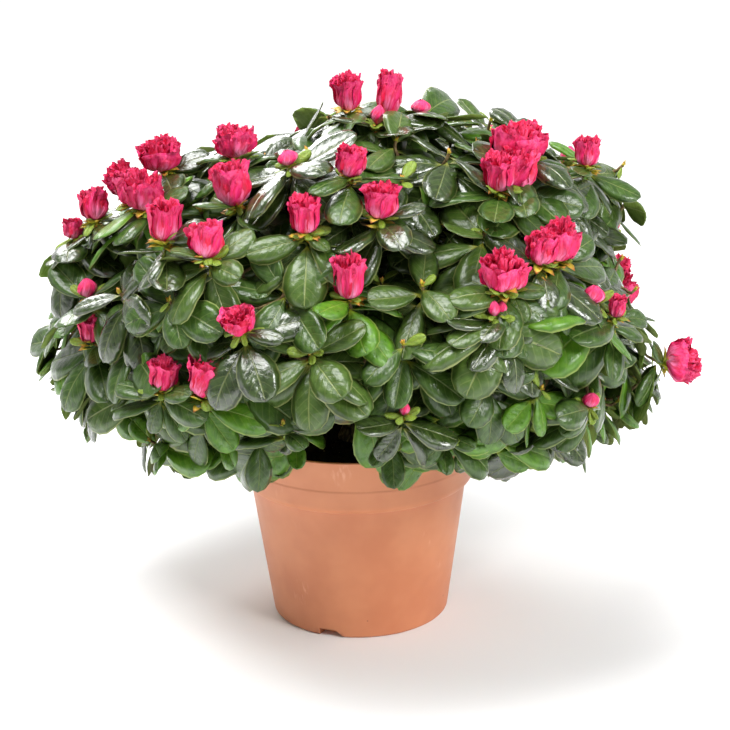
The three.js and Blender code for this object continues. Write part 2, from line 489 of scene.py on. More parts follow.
class Scatter:
    """Sets copies of a few shapes on points that carry their own turn, size and choice."""

    def __init__(self, name: str, shapes: Sequence[bpy.types.Mesh]) -> None:
        """Writes the tree.

        Args:
            name: The tree's name.
            shapes: The shapes to pick from, in the order of the points' choices.
        """
        self.shapes = [place(f"{name}_shape_{i}", mesh) for i, mesh in enumerate(shapes)]
        self.recipe = GeometryRecipe(name)
        r = self.recipe
        joined = r.node("GeometryNodeJoinGeometry")
        for i in reversed(range(len(shapes))):
            shape = r.input(f"Shape {i}", "NodeSocketObject")
            info = r.node("GeometryNodeObjectInfo", {"Object": shape})
            single = r.node(
                "GeometryNodeGeometryToInstance", {"Geometry": info.outputs["Geometry"]}
            )
            r.feed(joined.inputs["Geometry"], single.outputs["Instances"])
        spread = r.input("Size spread", "NodeSocketFloat")
        seed = r.input("Seed", "NodeSocketInt")
        low, high = r.math("SUBTRACT", 1.0, spread), r.math("ADD", 1.0, spread)
        size = r.node(
            "ShaderNodeVectorMath",
            {0: r.attribute("size", "FLOAT_VECTOR"), "Scale": r.luck("FLOAT", seed, low, high)},
            operation="SCALE",
        )
        copies = r.node(
            "GeometryNodeInstanceOnPoints",
            {
                "Points": r.geometry,
                "Instance": joined.outputs["Geometry"],
                "Pick Instance": True,
                "Instance Index": r.attribute("choice", "INT"),
                "Rotation": r.attribute("turn", "QUATERNION"),
                "Scale": size.outputs["Vector"],
            },
        )
        r.end(copies.outputs["Instances"], drop=("turn", "size", "choice"))

    def run(
        self,
        name: str,
        seats: Sequence["Seat"],
        material: bpy.types.Material,
        seed: int,
        spread: float = 0.0,
    ) -> bpy.types.Object:
        """Sets the copies and joins them into one piece.

        Args:
            name: The piece's name.
            seats: Where the copies go.
            material: What they wear.
            seed: The fixed seed of their sizes.
            spread: How far sizes stray from what the seats say, as a share.

        Returns:
            The piece.
        """
        mesh = bpy.data.meshes.new(name)
        mesh.from_pydata([tuple(seat.point) for seat in seats], [], [])
        turns = [number for seat in seats for number in seat.turn]
        sizes = [number for seat in seats for number in seat.size]
        mesh.attributes.new("turn", "QUATERNION", "POINT").data.foreach_set("value", turns)
        mesh.attributes.new("size", "FLOAT_VECTOR", "POINT").data.foreach_set("vector", sizes)
        choices = [seat.choice for seat in seats]
        mesh.attributes.new("choice", "INT", "POINT").data.foreach_set("value", choices)
        values: dict[str, Feed] = {"Size spread": spread, "Seed": seed, "Material": material}
        for i, shape in enumerate(self.shapes):
            values[f"Shape {i}"] = shape
        return self.recipe.run(name, mesh, values)

    def put_away(self) -> None:
        """Takes the loose shapes out of the scene."""
        for shape in self.shapes:
            bpy.data.objects.remove(shape)


@dataclass(frozen=True)
class Seat:
    """The place of one copy of a shape."""

    point: Vector
    turn: Quaternion
    size: tuple[float, float, float]
    choice: int


# ---- finishes


class SurfaceWriter(NodeWriter):
    """Writes one material round a Principled shader."""

    def __init__(self, name: str) -> None:
        """Starts a material with its shader and output.

        Args:
            name: The material's name.
        """
        self.material = bpy.data.materials.new(name)
        self.material.use_nodes = True
        super().__init__(self.material.node_tree)
        self.tree.nodes.clear()
        self.shader = self.node("ShaderNodeBsdfPrincipled")
        self.node("ShaderNodeOutputMaterial", {"Surface": self.shader.outputs["BSDF"]})

    def where(self) -> bpy.types.NodeSocket:
        """Gives the place on the piece, in metres."""
        return self.node("ShaderNodeTexCoord").outputs["Object"]

    def pattern(self) -> tuple[bpy.types.NodeSocket, bpy.types.NodeSocket, bpy.types.NodeSocket]:
        """Gives the place on the pattern map, and its parts across and along.

        Returns:
            The place, the part across and the part along.
        """
        spot = self.node("ShaderNodeUVMap", uv_map=PATTERN_MAP).outputs["UV"]
        apart = self.node("ShaderNodeSeparateXYZ", {"Vector": spot})
        return spot, apart.outputs["X"], apart.outputs["Y"]

    def halves(self, wide: Feed) -> tuple[bpy.types.NodeSocket, bpy.types.NodeSocket]:
        """Gives which half of the map a part across is on, as 0 or 1, and the place across it."""
        across = self.math("FRACT", self.math("MULTIPLY", wide, 2.0))
        return self.math("GREATER_THAN", wide, 0.5), across

    def stretched(
        self, scale: tuple[float, float, float], spot: Optional[bpy.types.NodeSocket] = None
    ) -> bpy.types.NodeSocket:
        """Gives the place on the piece, or another place, stretched along its axes."""
        vector = {"Vector": spot or self.where(), "Scale": scale}
        return self.node("ShaderNodeMapping", vector).outputs["Vector"]

    def grain(
        self, vector: bpy.types.NodeSocket, scale: float, detail: float = 2.0, rough: float = 0.5
    ) -> bpy.types.NodeSocket:
        """Gives a soft uneven value from 0 to 1.

        Args:
            vector: Where it is read.
            scale: How fine it is.
            detail: How many finer layers lie on it.
            rough: How strong each layer is.

        Returns:
            The value.
        """
        made = self.node(
            "ShaderNodeTexNoise",
            {"Vector": vector, "Scale": scale, "Detail": detail, "Roughness": rough},
        )
        return made.outputs["Fac"]

    def blend(self, share: Feed, first: Feed, second: Feed) -> bpy.types.NodeSocket:
        """Mixes two colours."""
        made = self.node("ShaderNodeMix", {0: share, 6: first, 7: second}, data_type="RGBA")
        return made.outputs[2]

    def lift(
        self,
        height: bpy.types.NodeSocket,
        distance: float,
        strength: float = 1.0,
        below: Optional[bpy.types.NodeSocket] = None,
    ) -> bpy.types.NodeSocket:
        """Raises the surface by a height, in the light only.

        Args:
            height: The height, from 0 to 1.
            distance: How many metres a height of 1 stands for.
            strength: How strongly the light takes it.
            below: A relief that this one lies on.

        Returns:
            The normal.
        """
        inputs: dict[Union[str, int], Feed] = {
            "Strength": strength,
            "Distance": distance,
            "Height": height,
        }
        if below is not None:
            inputs["Normal"] = below
        return self.node("ShaderNodeBump", inputs).outputs["Normal"]

    def finish(self, **values: Feed) -> bpy.types.Material:
        """Sets the shader's sockets, named with _ for a space, and gives the material.

        Args:
            **values: What goes into each socket.

        Returns:
            The material.
        """
        for name, value in values.items():
            self.feed(self.shader.inputs[name.replace("_", " ")], value)
        return self.material


@dataclass(frozen=True)
class LeafFinish:
    """Glossy leaf skin: a sunk pale midrib, bowed side veins, a thin pale margin, a dull back."""

    name: str
    light: Colour
    dark: Colour
    vein: Colour
    stalk: Colour
    back: Colour
    gloss: float = 0.33
    vein_pairs: float = 8.0
    relief: float = 0.30 * MM
    specular: float = 0.12
    wax: float = 0.8
    lustre: float = 1.5
    film: float = 0.20

    def build(self) -> bpy.types.Material:
        """Writes the material on the pattern map, where a leaf lies base down.

        Returns:
            The material.
        """
        w = SurfaceWriter(self.name)
        _, wide, along = w.pattern()
        under, half = w.halves(wide)
        full = 1.0 / (4.0 * MAP_HALF_WIDTH)
        across = w.math("MULTIPLY_ADD", half, 2.0 * full, -full)
        side = w.math("ABSOLUTE", across)
        inner = w.math("SUBTRACT", 1.0, w.math("MULTIPLY", side, side))

        bow = w.math("MULTIPLY", side, w.math("MULTIPLY_ADD", side, 0.10, 0.20))
        stagger = w.math("MULTIPLY", w.math("GREATER_THAN", across, 0.0), 0.5)
        rank = w.math("MULTIPLY_ADD", w.math("SUBTRACT", along, bow), self.vein_pairs, stagger)
        off_vein = w.math("PINGPONG", rank, 0.5)
        veins = w.math("MULTIPLY", w.ease(off_vein, 0.02, 0.12, 1.0, 0.0), inner)
        midrib = w.ease(side, 0.015, 0.06, 1.0, 0.0)
        margin = w.ease(side, 0.91, 0.97)
        lines = w.math("MAXIMUM", w.math("MULTIPLY", veins, 0.34), midrib)

        flat = w.node(
            "ShaderNodeCombineXYZ", {"X": w.math("MULTIPLY", across, 0.24), "Y": along}
        ).outputs["Vector"]
        patches = w.grain(flat, 6.0, 2.0)
        swells = w.grain(flat, 8.0, 1.0)
        pebble = w.grain(flat, 55.0, 2.0, 0.6)

        colour = w.blend(w.ease(patches, 0.35, 0.65), paint(self.dark), paint(self.light))
        colour = w.blend(w.math("MULTIPLY", lines, 0.5), colour, paint(self.vein))
        colour = w.blend(w.math("MULTIPLY", pebble, 0.45), colour, paint(self.dark))
        colour = w.blend(w.math("MULTIPLY", margin, 0.75), colour, paint(self.vein))
        colour = w.blend(w.ease(along, 0.02, 0.20, 1.0, 0.0), colour, paint(self.stalk))
        back = w.blend(lines, paint(self.back), paint(self.vein))
        colour = w.blend(under, colour, back)

        puffed = w.math("MULTIPLY", w.ease(off_vein, 0.0, 0.42), inner)
        height = w.math("MULTIPLY_ADD", puffed, 0.22, w.math("MULTIPLY", midrib, -0.8))
        height = w.math("ADD", height, w.math("MULTIPLY", swells, 1.5))
        wet = w.lift(w.math("ADD", height, w.math("MULTIPLY", pebble, 0.45)), self.relief)
        skin = w.lift(w.math("ADD", height, w.math("MULTIPLY", pebble, 0.7)), self.relief)
        shine = w.math("MULTIPLY_ADD", patches, 0.20, self.gloss - 0.10)
        dull = w.math("MULTIPLY_ADD", under, 0.3, shine)
        return w.finish(
            Base_Color=colour,
            Roughness=dull,
            Normal=skin,
            Specular_IOR_Level=self.specular,
            Coat_Weight=w.math("MULTIPLY_ADD", under, -self.wax, self.wax),
            Coat_Roughness=self.film,
            Coat_IOR=self.lustre,
            Coat_Normal=wet,
        )


LEAF_FINISHES = {
    LeafTone.DARK: LeafFinish(
        "leaf_dark",
        (54, 74, 28),
        (34, 49, 17),
        (140, 150, 92),
        (138, 142, 50),
        (102, 118, 60),
        wax=0.95,
        lustre=1.8,
        film=0.12,
    ),
    LeafTone.DEEP: LeafFinish(
        "leaf_deep", (66, 94, 35), (45, 70, 23), (150, 164, 98), (150, 154, 50), (110, 132, 58)
    ),
    LeafTone.OLIVE: LeafFinish(
        "leaf_olive", (76, 100, 42), (56, 79, 28), (158, 166, 102), (158, 158, 56), (116, 132, 64)
    ),
    LeafTone.FRESH: LeafFinish(
        "leaf_fresh",
        (88, 132, 28),
        (64, 106, 20),
        (156, 176, 84),
        (166, 178, 52),
        (120, 150, 56),
        gloss=0.30,
        specular=0.5,
        wax=0.15,
    ),
    LeafTone.YOUNG: LeafFinish(
        "leaf_young",
        (134, 156, 48),
        (106, 132, 36),
        (172, 182, 84),
        (186, 178, 56),
        (144, 160, 68),
        gloss=0.34,
        specular=0.5,
        wax=0.0,
    ),
}


@dataclass(frozen=True)
class PetalFinish:
    """Thin crepe petals: deeper streaks along them, a redder inside, and a painted highlight of
    lighter pink on the crinkled rim.
    """

    name: str = "petal_cerise"
    outside: Colour = (222, 40, 112)
    streak: Colour = (200, 10, 62)
    # The rim colour is a painted highlight: a lighter pink for the light that the crinkled rim
    # catches.
    rim: Colour = (238, 84, 134)
    inside: Colour = (208, 6, 44)
    claw: Colour = (248, 150, 192)
    gloss: float = 0.5
    relief: float = 0.35 * MM

    def build(self) -> bpy.types.Material:
        """Writes the material on the pattern map, where a petal lies claw down.

        Returns:
            The material.
        """
        w = SurfaceWriter(self.name)
        spot, wide, along = w.pattern()
        inner, across = w.halves(wide)
        middle = w.math("PINGPONG", w.math("MULTIPLY", across, 1.04), 0.5)
        ribs = w.grain(w.stretched((34.0, 2.4, 1.0), spot), 1.0, 2.0, 0.6)
        crinkle = w.grain(w.stretched((26.0, 9.0, 1.0), spot), 1.0, 3.0, 0.6)
        colour = w.blend(w.ease(ribs, 0.40, 0.66), paint(self.outside), paint(self.streak))
        colour = w.blend(w.math("MULTIPLY", inner, 0.80), colour, paint(self.inside))
        # Painted highlight: towards the rim, where the crinkle rises, the colour is lightened to
        # the rim's pink.
        edge = w.math("MULTIPLY", w.ease(along, 0.62, 1.0), w.ease(crinkle, 0.35, 0.62))
        colour = w.blend(edge, colour, paint(self.rim))
        blush = w.math("MULTIPLY", w.ease(along, 0.25, 0.85, 0.9, 0.0), w.ease(middle, 0.05, 0.40))
        blush = w.math("MULTIPLY", blush, w.ease(ribs, 0.40, 0.62, 1.0, 0.35))
        colour = w.blend(blush, colour, paint(self.claw))
        colour = w.blend(w.ease(middle, 0.0, 0.12, 0.5, 0.0), colour, paint(self.streak))
        rough_rim = w.math("MULTIPLY", crinkle, w.ease(along, 0.45, 0.95, 0.3, 1.6))
        height = w.math("ADD", w.math("MULTIPLY", ribs, 0.8), rough_rim)
        skin = w.lift(height, self.relief)
        return w.finish(
            Base_Color=colour,
            Roughness=w.math("MULTIPLY_ADD", crinkle, 0.2, self.gloss - 0.1),
            Normal=skin,
            Specular_IOR_Level=0.3,
        )


@dataclass(frozen=True)
class BractFinish:
    """The dry-tipped scales under a flower: yellow-green at the foot, tan and rust at the tip."""

    name: str = "bract_scale"
    foot: Colour = (178, 186, 48)
    body: Colour = (208, 178, 54)
    tip: Colour = (184, 104, 48)

    def build(self) -> bpy.types.Material:
        """Writes the material on the pattern map, where a scale lies base down.

        Returns:
            The material.
        """
        w = SurfaceWriter(self.name)
        spot, _, along = w.pattern()
        fibres = w.grain(w.stretched((30.0, 3.0, 1.0), spot), 1.0)
        colour = w.blend(w.ease(along, 0.2, 0.8), paint(self.foot), paint(self.body))
        browned = w.math("ADD", along, w.math("MULTIPLY", fibres, 0.3))
        colour = w.blend(w.ease(browned, 0.75, 1.1), colour, paint(self.tip))
        return w.finish(
            Base_Color=colour,
            Roughness=w.math("MULTIPLY_ADD", fibres, 0.2, 0.45),
            Normal=w.lift(fibres, 0.2 * MM),
        )


@dataclass(frozen=True)
class BarkFinish:
    """Bark: greyed ridges over darker fissures, on twigs smoother and browner."""

    name: str
    ridge: Colour
    base: Colour
    fissure: Colour
    scale: float
    relief: float

    def build(self) -> bpy.types.Material:
        """Writes the material on the place on the piece.

        Returns:
            The material.
        """
        w = SurfaceWriter(self.name)
        upright = w.stretched((1.0, 1.0, 0.32))
        fibres = w.grain(upright, self.scale, 4.0, 0.62)
        flecks = w.grain(w.where(), self.scale * 0.35, 2.0)
        cracks = w.node(
            "ShaderNodeTexVoronoi",
            {"Vector": upright, "Scale": self.scale * 0.8},
            feature="DISTANCE_TO_EDGE",
        ).outputs["Distance"]
        open_crack = w.ease(cracks, 0.02, 0.14, 1.0, 0.0)
        colour = w.blend(w.ease(fibres, 0.35, 0.62), paint(self.base), paint(self.ridge))
        colour = w.blend(w.ease(flecks, 0.50, 0.68, 0.0, 0.5), colour, paint(self.fissure))
        colour = w.blend(w.math("MULTIPLY", open_crack, 0.7), colour, paint(self.fissure))
        height = w.math("SUBTRACT", fibres, w.math("MULTIPLY", open_crack, 0.6))
        return w.finish(
            Base_Color=colour,
            Roughness=w.ease(fibres, 0.3, 0.7, 0.9, 0.7),
            Normal=w.lift(height, self.relief),
            Specular_IOR_Level=0.3,
        )


STEM_BARK = BarkFinish("bark_stem", (150, 128, 100), (104, 80, 58), (52, 38, 28), 420.0, 0.5 * MM)
TWIG_BARK = BarkFinish("bark_twig", (134, 118, 78), (104, 84, 52), (78, 56, 38), 600.0, 0.25 * MM)


@dataclass(frozen=True)
class PotFinish:
    """Satin plastic coloured as terracotta: faint clouding, fine pebble, scuffs and specks."""

    name: str = "plastic_terracotta"
    light: Colour = (210, 136, 96)
    deep: Colour = (198, 122, 84)
    scuff: Colour = (232, 178, 150)
    speck: Colour = (120, 72, 52)
    gloss: float = 0.46

    def build(self) -> bpy.types.Material:
        """Writes the material on the place on the piece.

        Returns:
            The material.
        """
        w = SurfaceWriter(self.name)
        here = w.where()
        clouds = w.grain(here, 26.0, 3.0, 0.55)
        colour = w.blend(w.ease(clouds, 0.32, 0.68), paint(self.light), paint(self.deep))
        rubbed = w.math(
            "MULTIPLY",
            w.ease(w.grain(here, 38.0, 2.0), 0.64, 0.78),
            w.ease(w.grain(w.stretched((1.0, 1.0, 0.25)), 520.0, 3.0), 0.5, 0.7),
        )
        colour = w.blend(w.math("MULTIPLY", rubbed, 0.5), colour, paint(self.scuff))
        cells = w.node("ShaderNodeTexVoronoi", {"Vector": here, "Scale": 85.0})
        dots = w.ease(cells.outputs["Distance"], 0.03, 0.06, 1.0, 0.0)
        chosen = w.ease(w.grain(here, 60.0, 1.0), 0.60, 0.64)
        colour = w.blend(
            w.math("MULTIPLY", w.math("MULTIPLY", dots, chosen), 0.7), colour, paint(self.speck)
        )
        pebble = w.grain(here, 1500.0, 2.0)
        skin = w.lift(w.grain(here, 90.0, 1.0), 0.25 * MM)
        skin = w.lift(pebble, 0.03 * MM, below=skin)
        shine = w.math("MULTIPLY_ADD", clouds, 0.12, self.gloss - 0.06)
        shine = w.math("MULTIPLY_ADD", rubbed, 0.15, shine)
        return w.finish(
            Base_Color=colour, Roughness=shine, Normal=skin, Specular_IOR_Level=0.45
        )


@dataclass(frozen=True)
class PeatFinish:
    """Moist peat: near-black crumbs with paler fibres and a few bright grains."""

    name: str = "peat_moist"
    dark: Colour = (26, 20, 16)
    brown: Colour = (66, 48, 34)
    grain: Colour = (176, 160, 136)

    def build(self) -> bpy.types.Material:
        """Writes the material on the place on the piece.

        Returns:
            The material.
        """
        w = SurfaceWriter(self.name)
        here = w.where()
        lumps = w.grain(here, 260.0, 4.0, 0.65)
        colour = w.blend(w.ease(lumps, 0.42, 0.70), paint(self.dark), paint(self.brown))
        fibres = w.grain(w.stretched((1.0, 0.12, 1.0)), 900.0, 2.0)
        colour = w.blend(w.ease(fibres, 0.66, 0.72, 0.0, 0.6), colour, paint(self.brown))
        bits = w.node("ShaderNodeTexVoronoi", {"Vector": here, "Scale": 330.0})
        colour = w.blend(
            w.math(
                "MULTIPLY",
                w.ease(bits.outputs["Distance"], 0.12, 0.2, 1.0, 0.0),
                w.ease(w.grain(here, 140.0, 1.0), 0.58, 0.62),
            ),
            colour,
            paint(self.grain),
        )
        return w.finish(
            Base_Color=colour,
            Roughness=w.ease(lumps, 0.3, 0.7, 0.75, 1.0),
            Normal=w.lift(lumps, 1.2 * MM),
            Specular_IOR_Level=0.25,
        )


@dataclass(frozen=True)
class FloorFinish:
    """A matt white studio floor."""

    name: str = "floor_white"
    light: Colour = (246, 246, 246)
    deep: Colour = (243, 243, 244)
    glow: float = 0.70
    glow_from: float = 0.6
    glow_to: float = 2.4

    def build(self) -> bpy.types.Material:
        """Writes the material, which keeps its white where the softboxes no longer reach.

        Returns:
            The material.
        """
        w = SurfaceWriter(self.name)
        away = w.node("ShaderNodeVectorMath", {0: w.where()}, operation="LENGTH")
        lit = w.ease(away.outputs["Value"], self.glow_from, self.glow_to, 0.0, self.glow)
        clouds = w.grain(w.where(), 3.0, 2.0)
        colour = w.blend(clouds, paint(self.light), paint(self.deep))
        return w.finish(
            Base_Color=colour,
            Roughness=0.8,
            Specular_IOR_Level=0.2,
            Emission_Color=paint(self.light),
            Emission_Strength=lit,
        )


# ---- studio


@dataclass
class Softbox:
    """One soft square light that looks at the plant."""

    name: str
    place: tuple[float, float, float]
    side: float
    power: float


@dataclass
class Studio:
    """White floor, white surroundings, soft lights, and the camera in front and above."""

    floor_side: float = 14.0
    camera_place: tuple[float, float, float] = (0.005, -1.0, 0.4498)
    camera_pitch: float = 0.295
    camera_roll: float = -0.019
    lens: float = 90.69
    sensor: float = 36.0
    sky: Colour = (255, 255, 255)
    sky_strength: float = 0.38
    behind_strength: float = 0.95
    before_strength: float = 0.28
    turn_back: tuple[float, float] = (-0.1, 0.8)
    horizon: tuple[float, float] = (0.35, 0.70)
    target: tuple[float, float, float] = (0.0, 0.0, 0.16)
    softboxes: tuple[Softbox, ...] = (
        Softbox("key", (1.0, -0.95, 1.05), 0.6, 24.0),
        Softbox("top", (-0.38, -0.22, 1.45), 0.9, 31.0),
        Softbox("side", (-0.50, 1.15, 0.92), 0.6, 15.0),
    )

    def build(self) -> None:
        """Makes the floor, the light and the camera."""
        half = self.floor_side / 2.0
        square = [(-half, -half, 0), (half, -half, 0), (half, half, 0), (-half, half, 0)]
        floor = place("floor", new_mesh("floor", square, [(0, 1, 2, 3)]))
        floor.data.materials.append(FloorFinish().build())

        scene = bpy.context.scene
        scene.world = bpy.data.worlds.new("studio")
        scene.world.use_nodes = True
        backdrop = scene.world.node_tree.nodes["Background"]
        backdrop.inputs["Color"].default_value = paint(self.sky)
        w = NodeWriter(scene.world.node_tree)
        around = w.node("ShaderNodeTexCoord").outputs["Generated"]
        apart = w.node("ShaderNodeSeparateXYZ", {"Vector": around})
        low, high = self.turn_back
        level = w.ease(apart.outputs["Y"], low, high, self.before_strength, self.behind_strength)
        low, high = self.horizon
        fade = w.ease(apart.outputs["Z"], low, high, level, self.sky_strength)
        w.feed(backdrop.inputs["Strength"], fade)
        scene.view_settings.view_transform = "Standard"

        for box in self.softboxes:
            light = bpy.data.lights.new(box.name, "AREA")
            light.shape, light.size, light.energy = "SQUARE", box.side, box.power
            lamp = bpy.data.objects.new(box.name, light)
            lamp.location = box.place
            aim = Vector(self.target) - Vector(box.place)
            lamp.rotation_euler = aim.to_track_quat("-Z", "Y").to_euler()
            scene.collection.objects.link(lamp)

        camera = bpy.data.objects.new("camera", bpy.data.cameras.new("camera"))
        camera.data.lens, camera.data.sensor_width = self.lens, self.sensor
        camera.data.clip_end = 2.0 * self.floor_side
        tilt = Matrix.Rotation(math.pi / 2.0 - self.camera_pitch, 4, "X")
        roll = Matrix.Rotation(self.camera_roll, 4, "Z")
        camera.matrix_world = Matrix.Translation(self.camera_place) @ tilt @ roll
        scene.collection.objects.link(camera)
        scene.camera = camera
        LOG.info("studio: floor, %d softboxes and camera", len(self.softboxes))


# ---- pot and peat


@dataclass
class Pot:
    """The nursery pot: tapering body, deep rim band with a rounded lip, notched foot."""

    height: float = 112 * MM
    rim_radius: float = 70 * MM
    band_foot: float = 85.5 * MM
    band_radius: float = 66.5 * MM
    ridge_height: float = 94.0 * MM
    ridge_step: float = 0.35 * MM
    shoulder: float = 80.0 * MM
    shoulder_radius: float = 62.1 * MM
    foot_radius: float = 51 * MM
    foot_round: float = 2.0 * MM
    wall: float = 1.8 * MM
    floor: float = 2.4 * MM
    notch_azimuths: tuple[float, ...] = (-109.5, 10.5, 130.5)
    notch_width: float = 15 * MM
    notch_slant: float = 5 * MM
    notch_height: float = 4.5 * MM
    notch_depth: float = 7 * MM
    columns: int = 144
    sharp_from: float = 38.0

    def outer_profile(self) -> list[tuple[float, float]]:
        """Gives the outside from the middle of the underside to the rim, as radius and height.

        Returns:
            The profile's points.
        """
        inset = self.foot_radius - self.notch_depth
        profile = [(0.0, 0.0), (0.5 * inset, 0.0), (inset - 0.05 * MM, 0.0), (inset, 0.0)]
        profile += [(self.foot_radius - self.foot_round - 1.5 * MM, 0.0)]
        for turn in np.linspace(0.0, math.pi / 2.0, 6):
            radius = self.foot_radius - self.foot_round * (1.0 - math.sin(turn))
            profile.append((radius, self.foot_round * (1.0 - math.cos(turn))))
        taper = (self.shoulder_radius - self.foot_radius) / (self.shoulder - self.foot_round)
        for height in (4.4 * MM, 4.6 * MM, 12 * MM, 28 * MM, 44 * MM, 60 * MM, 74 * MM):
            profile.append((self.foot_radius + taper * (height - self.foot_round), height))
        reach, rise = self.band_radius - self.shoulder_radius, self.band_foot - self.shoulder
        profile.append((self.shoulder_radius, self.shoulder - 0.3 * MM))
        for turn in np.linspace(0.0, math.pi / 2.0, 9):
            radius = self.shoulder_radius + reach * math.sin(turn) ** 0.9
            profile.append((radius, self.shoulder + rise * (1.0 - math.cos(turn))))
        band = (self.rim_radius - self.band_radius) / (self.height - self.band_foot)
        for height, out in (
            (self.band_foot + 0.6 * MM, 0.0),
            (self.ridge_height - 0.8 * MM, 0.0),
            (self.ridge_height - 0.3 * MM, 0.0),
            (self.ridge_height + 0.3 * MM, -self.ridge_step),
            (self.ridge_height + 0.8 * MM, -self.ridge_step),
            (self.height - 1.4 * MM, -0.15 * self.ridge_step),
            (self.height - 0.7 * MM, 0.0),
        ):
            profile.append((self.band_radius + band * (height - self.band_foot) + out, height))
        return profile

    def rim_and_inside(self) -> list[tuple[float, float]]:
        """Gives the rounded rim and the inside, down to the middle of the floor.

        Returns:
            The profile's points.
        """
        round_off = 0.45 * self.wall
        middle = self.rim_radius - self.wall / 2.0
        top = self.height - round_off
        profile = [
            (middle + self.wall / 2.0 * math.cos(turn), top + round_off * math.sin(turn))
            for turn in np.linspace(0.0, math.pi, 7)
        ]
        profile += [
            (self.band_radius - self.wall, self.band_foot),
            (self.shoulder_radius - self.wall, self.shoulder),
            (self.foot_radius - self.wall - 0.2 * MM, self.floor + self.notch_height + 2 * MM),
            (self.foot_radius - self.notch_depth - self.wall, self.floor + self.notch_height),
            (0.0, self.floor + self.notch_height),
        ]
        return profile

    def notch_rise(self, azimuth: float, radius: float) -> float:
        """Gives how high the foot is cut at a place, or 0 between the notches.

        Args:
            azimuth: Degrees round the pot.
            radius: Distance from the pot's axis.

        Returns:
            The height of the cut.
        """
        if radius < self.foot_radius - self.notch_depth - 0.01 * MM:
            return 0.0
        for middle in self.notch_azimuths:
            off = math.radians((azimuth - middle + 180.0) % 360.0 - 180.0) * self.foot_radius
            half = self.notch_width / 2.0
            if -half < off < half:
                steep = min(1.0, (off + half) / (0.4 * MM))
                slanting = min(1.0, (half - off) / self.notch_slant)
                return self.notch_height * min(steep, slanting)
        return 0.0

    def azimuths(self) -> list[float]:
        """Gives the azimuths of the columns, closer together at the notches.

        Returns:
            The azimuths in degrees, in order.
        """
        found = {360.0 * i / self.columns for i in range(self.columns)}
        degree = math.degrees(1.0 / self.foot_radius)
        for middle in self.notch_azimuths:
            half = self.notch_width / 2.0
            for off in (-half - 0.05 * MM, -half, -half + 0.4 * MM, half - self.notch_slant, half):
                found.add((middle + off * degree) % 360.0)
        return sorted(found)

    def build(self) -> None:
        """Turns the wall's profile and lifts the foot at the notches."""
        profile = self.outer_profile() + self.rim_and_inside()
        columns = self.azimuths()
        points: list[tuple[float, float, float]] = []
        rows: list[list[int]] = []
        for radius, height in profile:
            if radius < 1e-9:
                rows.append([len(points)] * len(columns))
                points.append((0.0, 0.0, height))
                continue
            row = []
            for azimuth in columns:
                lifted = height
                if height < self.notch_height:
                    lifted = max(height, self.notch_rise(azimuth, radius))
                row.append(len(points))
                points.append(round_axis(radius, math.radians(azimuth), lifted))
            rows.append(row)
        faces = []
        for low, high in zip(rows, rows[1:]):
            for j in range(len(columns)):
                k = (j + 1) % len(columns)
                corners = [low[j], low[k], high[k], high[j]]
                faces.append([c for i, c in enumerate(corners) if c != corners[i - 1]])
        mesh = new_mesh("pot_shell", points, faces)
        made = bmesh.new()
        made.from_mesh(mesh)
        bmesh.ops.recalc_face_normals(made, faces=made.faces)
        made.to_mesh(mesh)
        made.free()
        smooth(mesh)
        mesh.set_sharp_from_angle(angle=math.radians(self.sharp_from))
        mesh.materials.append(PotFinish().build())
        hand_over(place("pot_shell", mesh), ["pot"])


